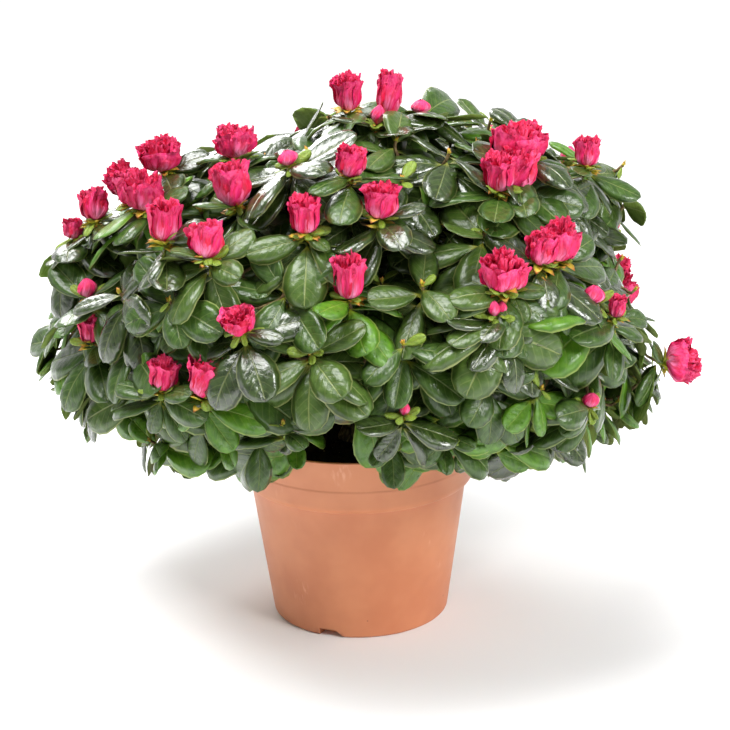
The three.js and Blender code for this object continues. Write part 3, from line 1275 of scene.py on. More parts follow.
@dataclass
class Peat:
    """The peat in the pot: an uneven top strewn with crumbs, and a plain plug below."""

    rings: int = 46
    columns: int = 120
    unevenness: float = 1.6 * MM
    sunk_edge: float = 0.6 * MM
    underside: float = 9 * MM
    crumbs_per_area: float = 52000.0
    crumb: float = 1.5 * MM
    crumb_spread: tuple[tuple[float, float, float], ...] = ((0.5, 0.4, 0.3), (1.6, 1.2, 0.9))
    seed: int = 11

    def build(self, pot: Pot) -> None:
        """Makes the uneven plug, then strews crumbs over its top.

        Args:
            pot: The pot that holds it.
        """
        _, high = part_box("peat")
        edge = high.x - 0.2 * MM
        points = [(0.0, 0.0, high.z - 0.3 * MM)]
        faces: list[tuple[int, ...]] = []
        rows: list[list[int]] = []
        for i in range(1, self.rings + 1):
            radius = edge * i / self.rings
            row = []
            for j in range(self.columns):
                turn = math.tau * j / self.columns
                x, y = radius * math.cos(turn), radius * math.sin(turn)
                bumps = noise.fractal(Vector((x * 90, y * 90, 3.0)), 0.8, 2.1, 4)
                drop = self.sunk_edge * (i / self.rings) ** 3
                height = high.z - 1.2 * MM - drop + self.unevenness * 0.5 * bumps
                row.append(len(points))
                points.append((x, y, min(height, high.z)))
            rows.append(row)
        sides = [
            (pot.band_radius - pot.wall - 0.8 * MM, pot.band_foot),
            (pot.shoulder_radius - pot.wall - 0.8 * MM, pot.shoulder),
            (pot.foot_radius - pot.wall - 1.6 * MM, self.underside),
        ]
        for radius, height in sides:
            row = []
            for j in range(self.columns):
                row.append(len(points))
                points.append(round_axis(radius, math.tau * j / self.columns, height))
            rows.append(row)
        bottom = len(points)
        points.append((0.0, 0.0, self.underside))
        for j in range(self.columns):
            k = (j + 1) % self.columns
            faces.append((0, rows[0][j], rows[0][k]))
            for inner, outer in zip(rows, rows[1:]):
                faces.append((inner[j], outer[j], outer[k], inner[k]))
            faces.append((bottom, rows[-1][k], rows[-1][j]))
        finish = PeatFinish().build()
        plug = new_mesh("peat_plug", points, faces)
        plug.materials.append(finish)
        hand_over(place("peat_plug", plug), ["peat"])

        crumbs = self.crumb_recipe()
        top_faces = [f for f in faces if all(p <= rows[self.rings - 2][-1] for p in f)]
        top = new_mesh("peat_crumbs", points[: rows[self.rings - 2][-1] + 1], top_faces)
        values: dict[str, Feed] = {
            "Crumbs per area": self.crumbs_per_area,
            "Crumb size": self.crumb,
            "Seed": self.seed,
            "Material": finish,
        }
        hand_over(crumbs.run("peat_crumbs", top, values), ["peat"])

    def crumb_recipe(self) -> GeometryRecipe:
        """Writes the tree that strews lumpy crumbs over a surface.

        Returns:
            The tree.
        """
        r = GeometryRecipe("strewn crumbs")
        density = r.input("Crumbs per area", "NodeSocketFloat")
        size = r.input("Crumb size", "NodeSocketFloat")
        seed = r.input("Seed", "NodeSocketInt")
        spots = r.node(
            "GeometryNodeDistributePointsOnFaces",
            {"Mesh": r.geometry, "Density": density, "Seed": seed},
        )
        ball = r.node("GeometryNodeMeshIcoSphere", {"Radius": 0.5, "Subdivisions": 1})
        sizes = r.luck("FLOAT_VECTOR", seed, *self.crumb_spread)
        scaled = r.node("ShaderNodeVectorMath", {0: sizes, "Scale": size}, operation="SCALE")
        turns = r.luck("FLOAT_VECTOR", seed, (0.0, 0.0, 0.0), (0.6, 0.6, math.tau))
        copies = r.node(
            "GeometryNodeInstanceOnPoints",
            {
                "Points": spots.outputs["Points"],
                "Instance": ball.outputs["Mesh"],
                "Rotation": turns,
                "Scale": scaled.outputs["Vector"],
            },
        )
        r.end(copies.outputs["Instances"])
        return r


# ---- crown and shoots


@dataclass
class Flower:
    """One flower's size and how far it has opened."""

    width: float
    height: float
    form: FlowerForm
    lean: float = 0.14


@dataclass
class Shoot:
    """The tip of one twig, with the leaves and perhaps the flower that it carries."""

    point: Vector
    axis: Vector
    outward: Vector
    mass: str
    depth: float
    proud: float
    flower: Optional[Flower] = None


BUD, GOBLET, FOLDED, RUFFLED = FlowerForm

FRONT_FLOWERS = (
    (72, -91, 18, 24, GOBLET), (69, -66, 16, 27, FOLDED), (69, -40, 12, 9, BUD),
    (66, -76, 9, 12, BUD), (53, -135, 25, 21, RUFFLED), (46, -106, 12, 9, BUD),
    (43, -155, 28, 22, RUFFLED), (43, -90, 18, 18, FOLDED), (43, -46, 29, 26, RUFFLED),
    (43, -41, 24, 22, RUFFLED), (38, -118, 23, 26, FOLDED), (38, -49, 23, 25, FOLDED),
    (38, -55, 19, 24, GOBLET), (37, -20, 17, 19, GOBLET), (35, -160, 22, 22, RUFFLED),
    (35, -84, 21, 21, GOBLET), (34, -145, 25, 25, RUFFLED), (34, -150, 20, 22, FOLDED),
    (32, -99, 18, 23, GOBLET), (28, -158, 18, 20, FOLDED), (28, -126, 20, 25, GOBLET),
    (26, -116, 20, 21, FOLDED), (23, -163, 13, 13, FOLDED), (23, -52, 24, 25, RUFFLED),
    (23, -56, 18, 20, FOLDED), (20, -65, 22, 26, RUFFLED), (20, -63, 16, 18, GOBLET),
    (16, -67, 7, 9, BUD), (16, -65.5, 6, 8, BUD), (15, -149, 12, 12, BUD),
    (15, -48, 13, 11, BUD), (15, -108, 21, 13, FOLDED), (12, -43, 11, 14, GOBLET),
    (12, -97, 5, 7, BUD), (7, -148, 14, 19, GOBLET), (4, -123, 17, 20, GOBLET),
    (4, -115, 20, 24, FOLDED), (1, -82, 6, 8, BUD), (-2, -48, 10, 9, BUD),
)
"""The flowers in front: elevation and azimuth from the crown's centre in degrees, width and height
in millimetres, and form."""


BACK_FLOWERS = (
    (24, 24, RUFFLED),
    (20, 25, GOBLET),
    (21, 22, FOLDED),
    (11, 12, BUD),
    (27, 24, RUFFLED),
    (18, 23, FOLDED),
)
"""Widths, heights and forms that the flowers behind take in turn, in millimetres."""

HOLLOWS = (
    (2, 9, 17, 22), (10, 20, 12, 8), (178, 66, 12, 10), (180, -22, 9, 12), (-98, -22, 12, 14),
)
"""Where the crown falls in: azimuth, elevation, how far the hollow spreads, and its depth."""

PLACED_SPRAYS = (
    (-159, 0, 158), (-171, -2, 160), (-122, -20, 112), (14, -124, 226), (38, -122, 212),
    (150, -6, 238), (-155, -4, 137), (-153, 5, 219), (-167, 0, 174), (149, 0, 258),
    (158, -20, 161), (167, 0, 137), (134, -40, 135), (-12, 0, 286), (76, 0, 284),
    (-115, -30, 123), (-91, -50, 126), (-71, -60, 129), (-52, -72, 132), (-35, -85, 137),
    (20, -88, 136), (44, -85, 135), (77, -62, 129), (110, -60, 138),
)
"""Places of the leafy shoots that make the crown's edges and its skirt, in millimetres."""

HEM = (
    (-186, 146), (-176, 142), (-168, 117), (-160, 120), (-157, 102), (-150, 106),
    (-140, 123), (-131, 118), (-126, 90), (-120, 80), (-112, 91), (-107, 90),
    (-103, 77), (-95, 84), (-85, 86), (-78, 95), (-72, 83), (-65, 75),
    (-59, 71), (-53, 80), (-45, 78), (-36, 84), (-27, 95), (-15, 94),
    (-9, 101), (-5, 112), (2, 108), (5, 82), (12, 84), (19, 67),
    (25, 71), (31, 84), (40, 89), (47, 84), (56, 78), (60, 96),
    (71, 95), (74, 79), (82, 77), (89, 76), (94, 98), (99, 86),
    (104, 80), (114, 82), (120, 86), (125, 101), (132, 77), (138, 91),
    (146, 100), (155, 95), (160, 109), (170, 108), (175, 126), (194, 132),
)
"""How low the leaves hang, seen from in front on the plant's middle plane: a place across the
plant, and the height there."""

SKYLINE = (
    (-187, 160), (-182, 168), (-176, 199), (-170, 212), (-163, 228), (-158, 222),
    (-153, 226), (-148, 238), (-142, 230), (-129, 240), (-120, 236), (-112, 245),
    (-98, 260), (-92, 265), (-82, 268), (-55, 268), (-41, 275), (-31, 277),
    (-28, 301), (-17, 297), (-5, 285), (4, 285), (10, 289), (34, 289),
    (50, 294), (61, 296), (73, 289), (80, 291), (97, 284), (103, 277),
    (113, 273), (124, 260), (138, 258), (147, 252), (163, 245), (166, 235),
    (168, 172), (176, 154), (187, 131),
)
"""How high the leaves reach, seen the same way."""

BAYS = (
    (168, 193, 22), (-172, 188, 8), (143, 212, 5),
)
"""Open places at the crown's edges, seen the same way: across, up, and the radius."""


@dataclass(frozen=True)
class FrontView:
    """The limits of the leaves as seen from in front: the hem, the skyline and the bays."""

    lowest: float = 76 * MM
    eye: tuple[float, float, float] = (0.0, -1.0, 0.45)

    def flatten(self, point: Vector) -> tuple[float, float, float]:
        """Carries a place along the line of sight to the plant's middle plane.

        Args:
            point: The place.

        Returns:
            Where it lies across the plane and how high, and how much farther off it is.
        """
        farther = (point.y - self.eye[1]) / -self.eye[1]
        up = self.eye[2] + (point.z - self.eye[2]) / farther
        return point.x / farther, up, farther

    @staticmethod
    def height_at(line: Sequence[tuple[float, float]], across: float) -> float:
        """Gives the height of a line at a place across the plant."""
        places, heights = zip(*line)
        return float(np.interp(across / MM, places, heights)) * MM

    def below_hem(self, point: Vector) -> float:
        """Gives how far a place is below the hem, or behind also below the lowest height.

        Args:
            point: The place.

        Returns:
            The distance, less than 0 above the hem.
        """
        across, up, farther = self.flatten(point)
        below = self.height_at(HEM, across) - up
        return max(below * farther, self.lowest - point.z) if farther > 1.0 else below

    def above_skyline(self, point: Vector) -> float:
        """Gives how far a place is above the skyline, less than 0 under it."""
        across, up, farther = self.flatten(point)
        return (up - self.height_at(SKYLINE, across)) * farther

    def in_bay(self, point: Vector) -> bool:
        """Says whether a place shows in one of the bays."""
        across, up, _ = self.flatten(point)
        return any(math.hypot(across / MM - x, up / MM - z) < size for x, z, size in BAYS)


@dataclass
class Crown:
    """The outline of the foliage, read from the frame's masses, and the shoots spread over it."""

    centre: Vector = field(default_factory=lambda: Vector((0.0, 0.0, 168 * MM)))
    far: float = 0.5
    bridge: float = 0.055
    spacing: float = 27 * MM
    inner_spacing: float = 30 * MM
    flower_scale: float = 0.90 * MM
    flower_inset: float = 2 * MM
    leaf_inset: float = 10 * MM
    uneven: tuple[float, float] = (0.3, 1.7)
    inner_inset: float = 40 * MM
    placed_proud: float = 24 * MM
    flower_proud: float = 5 * MM
    inner_proud: float = -12 * MM
    proud: tuple[float, float] = (-5 * MM, 9 * MM)
    skirt_room: float = 17 * MM
    middle_flower: tuple[float, float, float] = (-2.0, -152.0, 225.5)
    side_flower: tuple[float, float] = (-6.0, -6.0)
    side_reach: float = 17 * MM
    back_flowers: int = 26
    back_spacing: float = 38 * MM
    back_from: float = 0.2
    back_above: float = -0.05
    back_sizes: tuple[float, float] = (0.85, 1.1)
    hidden_height: float = 1.3
    hidden_margin: float = 10 * MM
    probes: int = 6
    probes_needed: int = 4
    near_axis: float = 0.05
    flower_bridges: tuple[float, ...] = (2.0, 3.5)
    foot_sunk: float = 0.06
    stray: float = 0.14
    samples: int = 5200
    seed: int = 5
    shelf: float = -0.15
    view: FrontView = FrontView()

    def __post_init__(self) -> None:
        """Reads the masses' faces."""
        points: list[Vector] = []
        faces: list[tuple[int, ...]] = []
        self.owners: list[str] = []
        self.masses = sorted(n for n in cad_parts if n.startswith("foliage_"))
        for name in self.masses:
            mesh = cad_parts[name].data
            start = len(points)
            points += [v.co.copy() for v in mesh.vertices]
            for face in mesh.polygons:
                faces.append(tuple(start + v for v in face.vertices))
                self.owners.append(name)
        self.tree = BVHTree.FromPolygons(points, faces)
        self.rng = np.random.default_rng(self.seed)
        self.shoots: list[Shoot] = []

    def surface(self, aim: Vector, wider: float = 1.0) -> Optional[tuple[float, str]]:
        """Finds the outline along a direction from the crown's centre, bridging narrow gaps.

        Args:
            aim: A unit direction.
            wider: How many times wider a gap is bridged than for a leaf.

        Returns:
            The outline's distance and the mass that it belongs to, or None where it is open.
            Below the shelf the outline falls straight down.
        """
        flat, stretch = math.hypot(aim.x, aim.y), 1.0
        if aim.z < self.shelf * flat and flat > self.near_axis:
            aim = Vector((aim.x, aim.y, self.shelf * flat)).normalized()
            stretch = math.hypot(aim.x, aim.y) / flat
        first = square_to(Vector((0.2, 0.3, 0.9)), aim)
        second = aim.cross(first)
        own = self.touch(aim)
        hits = [own] if own else []
        for i in range(self.probes):
            turn = math.tau * i / self.probes
            side = first * math.cos(turn) + second * math.sin(turn)
            near = self.touch((aim + side * self.bridge * wider).normalized())
            if near:
                hits.append(near)
        if len(hits) < self.probes_needed:
            return None
        farthest = sorted(hits, reverse=True)[: self.probes_needed]
        reach = sum(hit[0] for hit in farthest) / len(farthest)
        for azimuth, elevation, spread, depth in HOLLOWS:
            off = math.degrees(aim.angle(direction(azimuth, elevation)))
            if off < spread:
                reach -= depth * MM * (1.0 - (off / spread) ** 2) ** 1.5
        return reach * stretch, (own or farthest[0])[1]

    def touch(self, aim: Vector) -> Optional[tuple[float, str]]:
        """Gives the distance of the face farthest out in a direction, and whose face it is.

        Args:
            aim: A unit direction from the crown's centre.

        Returns:
            The distance and the mass, or None where there is no face.
        """
        _, _, index, travelled = self.tree.ray_cast(self.centre + aim * self.far, -aim)
        if index is None or travelled > self.far:
            return None
        return self.far - travelled, self.owners[index]

    def shoot_at(
        self,
        aim: Vector,
        inset: float,
        depth: float,
        proud: float,
        flower: Optional[Flower] = None,
    ) -> Optional[Shoot]:
        """Sets a shoot under the outline along a direction.

        Args:
            aim: A unit direction from the crown's centre.
            inset: How far under the outline it is.
            depth: 0 for the outside of the crown, up to 1 for its inside.
            proud: How far its leaves may reach beyond the outline.
            flower: The flower on it, or None.

        Returns:
            The shoot, or None where the crown is open.
        """
        hit = self.surface(aim)
        for wider in self.flower_bridges if flower else ():
            hit = hit or self.surface(aim, wider)
        if hit is None:
            return None
        reach, mass = hit
        axis, stray = self.lean(aim)
        point = self.centre + aim * (reach - inset)
        if flower is not None:
            flat = Vector((aim.x, aim.y, 0.0))
            axis = (UP + flat * flower.lean + stray * 0.7).normalized()
            point = point - axis * self.foot_sunk * flower.height
        return Shoot(point, axis, aim, mass, depth, proud, flower)

    def lean(self, aim: Vector) -> tuple[Vector, Vector]:
        """Leans a leafy shoot outward, the more the lower it grows.

        Args:
            aim: Its direction from the crown's centre.

        Returns:
            Its axis, and the chance part of it.
        """
        low, high = max(0.0, -aim.z), max(0.0, aim.z)
        flat = Vector((aim.x, aim.y, 0.0)) * (0.60 + 0.9 * low - 0.15 * high)
        stray = Vector(self.rng.normal(0.0, self.stray, 3))
        return (flat + UP * (0.95 - 0.5 * low) + aim * 0.25 + stray).normalized(), stray

    def placed(self, place: tuple[float, float, float]) -> Shoot:
        """Sets a leafy shoot at a place, on the nearest mass.

        Args:
            place: The place, in millimetres.

        Returns:
            The shoot.
        """
        point = Vector(place) * MM
        aim = (point - self.centre).normalized()
        _, _, index, _ = self.tree.find_nearest(point)
        axis, _ = self.lean(aim)
        return Shoot(point, axis, aim, self.owners[index], 0.0, self.placed_proud)

    def spread(self) -> None:
        """Sets the flowers in front, more flowers behind, and leafy shoots over all the rest."""
        for elevation, azimuth, width, height, form in FRONT_FLOWERS:
            flower = Flower(width * self.flower_scale, height * self.flower_scale, form)
            aim = direction(azimuth, elevation)
            self.keep(self.shoot_at(aim, self.flower_inset, 0.0, self.flower_proud, flower))
        side = Flower(28 * MM, 20 * MM, RUFFLED, lean=7.0)
        aim = direction(*self.side_flower)
        self.keep(self.shoot_at(aim, -self.side_reach, 0.0, self.flower_proud, side))
        self.shoots += [self.placed(place) for place in PLACED_SPRAYS]
        aims = self.even_aims()
        self.flowers_behind(aims)
        self.fill(aims, self.spacing, self.leaf_inset, 0.0, self.proud)
        inner_proud = (self.inner_proud, self.inner_proud)
        self.fill(aims, self.inner_spacing, self.inner_inset, 1.0, inner_proud)
        middle = Flower(16.5 * MM, 24 * MM, GOBLET)
        self.shoots.append(self.flower_over_gap(Vector(self.middle_flower) * MM, middle))
        self.mark_flowers()
        LOG.info("crown: %d shoots", len(self.shoots))

    def flower_over_gap(self, point: Vector, flower: Flower) -> Shoot:
        """Sets a flower at a place in front of a gap between the masses.

        Args:
            point: The place of its foot.
            flower: The flower.

        Returns:
            The shoot, which grows from the nearest mass.
        """
        aim = (point - self.centre).normalized()
        _, _, index, _ = self.tree.find_nearest(point)
        axis = (UP + Vector((aim.x, aim.y, 0.0)) * flower.lean).normalized()
        return Shoot(point, axis, aim, self.owners[index], 0.0, self.flower_proud, flower)

    def keep(self, shoot: Optional[Shoot]) -> None:
        """Adds a shoot, if there is one."""
        if shoot is not None:
            self.shoots.append(shoot)

    def even_aims(self) -> list[Vector]:
        """Gives directions spread evenly over a sphere, in a shuffled order.

        Returns:
            The unit directions.
        """
        aims = []
        for i in range(self.samples):
            height = 1.0 - 2.0 * (i + 0.5) / self.samples
            flat, turn = math.sqrt(1.0 - height * height), GOLDEN_ANGLE * i
            aims.append(Vector((flat * math.cos(turn), flat * math.sin(turn), height)))
        self.rng.shuffle(aims)
        return [Vector(a) for a in aims]

    def flowers_behind(self, aims: Sequence[Vector]) -> None:
        """Sets flowers of mixed forms on the part of the crown that looks back.

        Args:
            aims: The directions to try.
        """
        made = 0
        for aim in aims:
            if made == self.back_flowers:
                break
            if aim.y < self.back_from or aim.z < self.back_above:
                continue
            width, height, form = BACK_FLOWERS[made % len(BACK_FLOWERS)]
            scale = self.rng.uniform(*self.back_sizes) * MM
            flower = Flower(width * scale, height * scale, form)
            shoot = self.shoot_at(aim, self.flower_inset, 0.0, self.flower_proud, flower)
            if shoot is None or not self.is_clear(shoot, self.back_spacing):
                continue
            top = shoot.axis * (self.hidden_height * flower.height + self.hidden_margin)
            if self.is_behind(shoot.point + top):
                self.shoots.append(shoot)
                made += 1
        LOG.info("flowers behind: %d", made)

    def is_behind(self, point: Vector) -> bool:
        """Says whether the crown hides a point from in front.

        Args:
            point: The point.

        Returns:
            True if a mass is in the way.
        """
        eye = Vector(self.view.eye)
        _, _, index, travelled = self.tree.ray_cast(eye, (point - eye).normalized())
        return index is not None and travelled < (point - eye).length

    def fill(
        self,
        aims: Sequence[Vector],
        spacing: float,
        inset: float,
        depth: float,
        proud: tuple[float, float],
    ) -> None:
        """Sets leafy shoots wherever none at the same depth is near.

        Args:
            aims: The directions to try.
            spacing: The least distance between shoots.
            inset: How far under the outline they lie, on average.
            depth: 0 for the outside of the crown, up to 1 for its inside.
            proud: How little and how far their leaves may reach beyond the outline.
        """
        for aim in aims:
            under = inset * self.rng.uniform(*self.uneven)
            shoot = self.shoot_at(aim, under, depth, self.rng.uniform(*proud))
            if shoot is None or not self.is_clear(shoot, spacing):
                continue
            room = UP * self.skirt_room
            if self.view.below_hem(shoot.point - room) > 0.0:
                continue
            if depth > 0.5 or self.view.above_skyline(shoot.point + UP * 4 * MM) < 0.0:
                self.shoots.append(shoot)

    def is_clear(self, shoot: Shoot, spacing: float) -> bool:
        """Says whether no shoot at the same depth is nearer than a spacing.

        Args:
            shoot: The shoot.
            spacing: The least distance.

        Returns:
            True if it has room.
        """
        return all(
            (other.point - shoot.point).length > spacing
            for other in self.shoots
            if other.depth == shoot.depth
        )

    def overshoot(self, point: Vector) -> Optional[float]:
        """Gives how far a point is outside the outline, or None where the crown is open.

        Args:
            point: The point.

        Returns:
            The distance, less than 0 inside, or None.
        """
        arm = point - self.centre
        hit = self.surface(arm.normalized())
        return None if hit is None else arm.length - hit[0]

    def mark_flowers(self) -> None:
        """Notes where the flowers are, for the leaves to keep clear of."""
        flowers = [(s, s.flower) for s in self.shoots if s.flower]
        self.middles = np.array([s.point + s.axis * 0.55 * f.height for s, f in flowers])
        self.girths = np.array([0.5 * f.width for _, f in flowers])
        rays = self.middles - np.array(self.view.eye)
        self.ranges = np.linalg.norm(rays, axis=1)
        self.rays = rays / self.ranges[:, None]

    def crosses_flower(self, points: Sequence[Vector]) -> bool:
        """Says whether any of a leaf's points is inside a flower, or hides one in front.

        Args:
            points: The leaf's points.

        Returns:
            True if one of them is in the way.
        """
        for point in points:
            apart = np.linalg.norm(self.middles - np.array(point), axis=1)
            if (apart < self.girths).any():
                return True
            arm = np.array(point) - np.array(self.view.eye)
            along = self.rays @ arm
            beside = np.linalg.norm(arm - self.rays * along[:, None], axis=1)
            nearer = (along < self.ranges) & (self.middles[:, 1] < 0.0)
            if (nearer & (beside < 0.8 * self.girths + 2 * MM)).any():
                return True
        return False


# ---- limbs and twigs


@dataclass
class Stems:
    """The short stem and the boughs, run together into one skin with the bark's relief."""

    grid: float = 1.1 * MM
    smoothing: int = 4
    relief: float = 0.35 * MM

    def build(self) -> None:
        """Joins the limbs, rounds them and raises the bark."""
        limbs = [n for n in sorted(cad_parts) if n == "trunk" or n.startswith("bough_")]
        joined = bmesh.new()
        for name in limbs:
            joined.from_mesh(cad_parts[name].data)
        bmesh.ops.remove_doubles(joined, verts=joined.verts, dist=0.01 * MM)
        mesh = bpy.data.meshes.new("stems")
        joined.to_mesh(mesh)
        joined.free()
        piece = place("stems", mesh)
        skin = piece.modifiers.new("skin", "REMESH")
        skin.mode, skin.voxel_size = "VOXEL", self.grid
        ease = piece.modifiers.new("ease", "SMOOTH")
        ease.factor, ease.iterations = 0.5, self.smoothing
        piece.data = plain_mesh(piece)
        self.raise_bark(piece.data)
        piece.data.materials.clear()
        piece.data.materials.append(STEM_BARK.build())
        smooth(piece.data)
        hand_over(piece, limbs)

    def raise_bark(self, mesh: bpy.types.Mesh) -> None:
        """Moves the skin out along ridges and in along fissures.

        Args:
            mesh: The skin.
        """
        normals = [v.normal.copy() for v in mesh.vertices]
        for vertex, normal in zip(mesh.vertices, normals):
            at = vertex.co
            long = noise.fractal(Vector((at.x * 420, at.y * 420, at.z * 110)), 0.7, 2.0, 3)
            knots = noise.noise(at * 130.0)
            vertex.co = at + normal * self.relief * (0.8 * long + 0.5 * knots)


@dataclass
class Twigs:
    """Twigs that fork from the end of each bough until every shoot has its own."""

    tip_radius: float = 0.85 * MM
    growth: float = 0.40
    largest: float = 2.3 * MM
    steps: int = 7
    sides: int = 6
    waver: float = 2.2 * MM
    tremble: float = 0.25 * MM
    fork_at: float = 0.42
    seed: int = 23
    points: list[Vector] = field(default_factory=list)
    edges: list[tuple[int, int]] = field(default_factory=list)
    radii: list[float] = field(default_factory=list)

    def grow(self, crown: Crown) -> None:
        """Grows each mass's twigs from its bough.

        Args:
            crown: The crown whose shoots the twigs reach.
        """
        self.rng = np.random.default_rng(self.seed)
        for mass in crown.masses:
            shoots = [s for s in crown.shoots if s.mass == mass]
            if not shoots:
                continue
            start, heading = self.bough_end(mass)
            self.fork(start, heading, shoots)

    def bough_end(self, mass: str) -> tuple[Vector, Vector]:
        """Finds where a mass's bough ends and which way it heads.

        Args:
            mass: The mass's node name.

        Returns:
            A point just inside the bough's end, and its heading.
        """
        own = [v.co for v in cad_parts[mass].data.vertices]
        middle = sum(own, Vector()) / len(own)
        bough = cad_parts[mass.replace("foliage_", "bough_")].data
        ordered = sorted((v.co.copy() for v in bough.vertices), key=lambda p: (p - middle).length)
        end = sum(ordered[:12], Vector()) / 12
        before = sum(ordered[12:36], Vector()) / 24
        heading = (end - before).normalized()
        return end - heading * 1.5 * MM, heading

    def girth(self, count: int) -> float:
        """Gives the radius of a twig that carries some number of shoots."""
        return min(self.largest, self.tip_radius * count**self.growth)

    def fork(self, start: Vector, heading: Vector, shoots: Sequence[Shoot]) -> None:
        """Forks towards groups of shoots, and again, until each has a twig.

        Args:
            start: Where the twig starts.
            heading: Which way it heads there.
            shoots: The shoots that it has to reach.
        """
        if len(shoots) == 1:
            shoot = shoots[0]
            self.run_twig(start, heading, shoot.point, shoot.axis, 1)
            return
        for group in self.parted(shoots):
            if len(group) == 1:
                self.fork(start, heading, group)
                continue
            middle = sum((s.point for s in group), Vector()) / len(group)
            joint = start.lerp(middle, self.fork_at) + Vector(self.rng.normal(0, self.waver, 3))
            onward = (middle - start).normalized()
            self.run_twig(start, heading, joint, onward, len(group))
            self.fork(joint, onward, group)

    def parted(self, shoots: Sequence[Shoot]) -> list[list[Shoot]]:
        """Parts shoots into two groups of neighbours.

        Args:
            shoots: The shoots.

        Returns:
            The two groups.
        """
        places = np.array([s.point for s in shoots])
        centred = places - places.mean(0)
        longest = np.linalg.svd(centred, full_matrices=False)[2][0]
        order = centred @ longest
        cut = np.median(order)
        first = [s for s, o in zip(shoots, order) if o <= cut]
        second = [s for s, o in zip(shoots, order) if o > cut]
        if not second:
            first, second = list(shoots[:1]), list(shoots[1:])
        return [first, second]

    def run_twig(
        self,
        start: Vector,
        heading: Vector,
        end: Vector,
        arriving: Vector,
        carried: int,
    ) -> None:
        """Lays one twig as a bent line whose points hold its radius.

        Args:
            start: Its start.
            heading: Which way it leaves.
            end: Its end.
            arriving: Which way it points at its end.
            carried: How many shoots hang on it.
        """
        span = (end - start).length
        first, second = start + heading * 0.30 * span, end - arriving * 0.38 * span
        for i in range(self.steps + 1):
            t = i / self.steps
            u = 1.0 - t
            at = start * u**3 + first * 3 * u * u * t + second * 3 * u * t * t + end * t**3
            if 0 < i < self.steps:
                at = at + Vector(self.rng.normal(0, self.tremble, 3))
            self.points.append(at)
            self.radii.append(self.girth(carried))
            if i > 0:
                self.edges.append((len(self.points) - 2, len(self.points) - 1))

    def build(self, masses: Sequence[str]) -> None:
        """Gives every twig its round bark.

        Args:
            masses: The nodes that the twigs help to stand for.
        """
        r = GeometryRecipe("round twigs")
        sides = r.input("Sides", "NodeSocketInt")
        line = r.node("GeometryNodeMeshToCurve", {"Mesh": r.geometry})
        ring = r.node("GeometryNodeCurvePrimitiveCircle", {"Resolution": sides, "Radius": 1.0})
        tube = r.node(
            "GeometryNodeCurveToMesh",
            {
                "Curve": line.outputs["Curve"],
                "Profile Curve": ring.outputs["Curve"],
                "Scale": r.attribute("girth", "FLOAT"),
                "Fill Caps": True,
            },
        )
        smooth = r.node("GeometryNodeSetShadeSmooth", {0: tube.outputs["Mesh"]})
        r.end(smooth.outputs[0], drop=("girth",))
        mesh = bpy.data.meshes.new("twigs")
        mesh.from_pydata([tuple(p) for p in self.points], self.edges, [])
        mesh.attributes.new("girth", "FLOAT", "POINT").data.foreach_set("value", self.radii)
        piece = r.run("twigs", mesh, {"Sides": self.sides, "Material": TWIG_BARK.build()})
        hand_over(piece, masses)


# ---- leaves


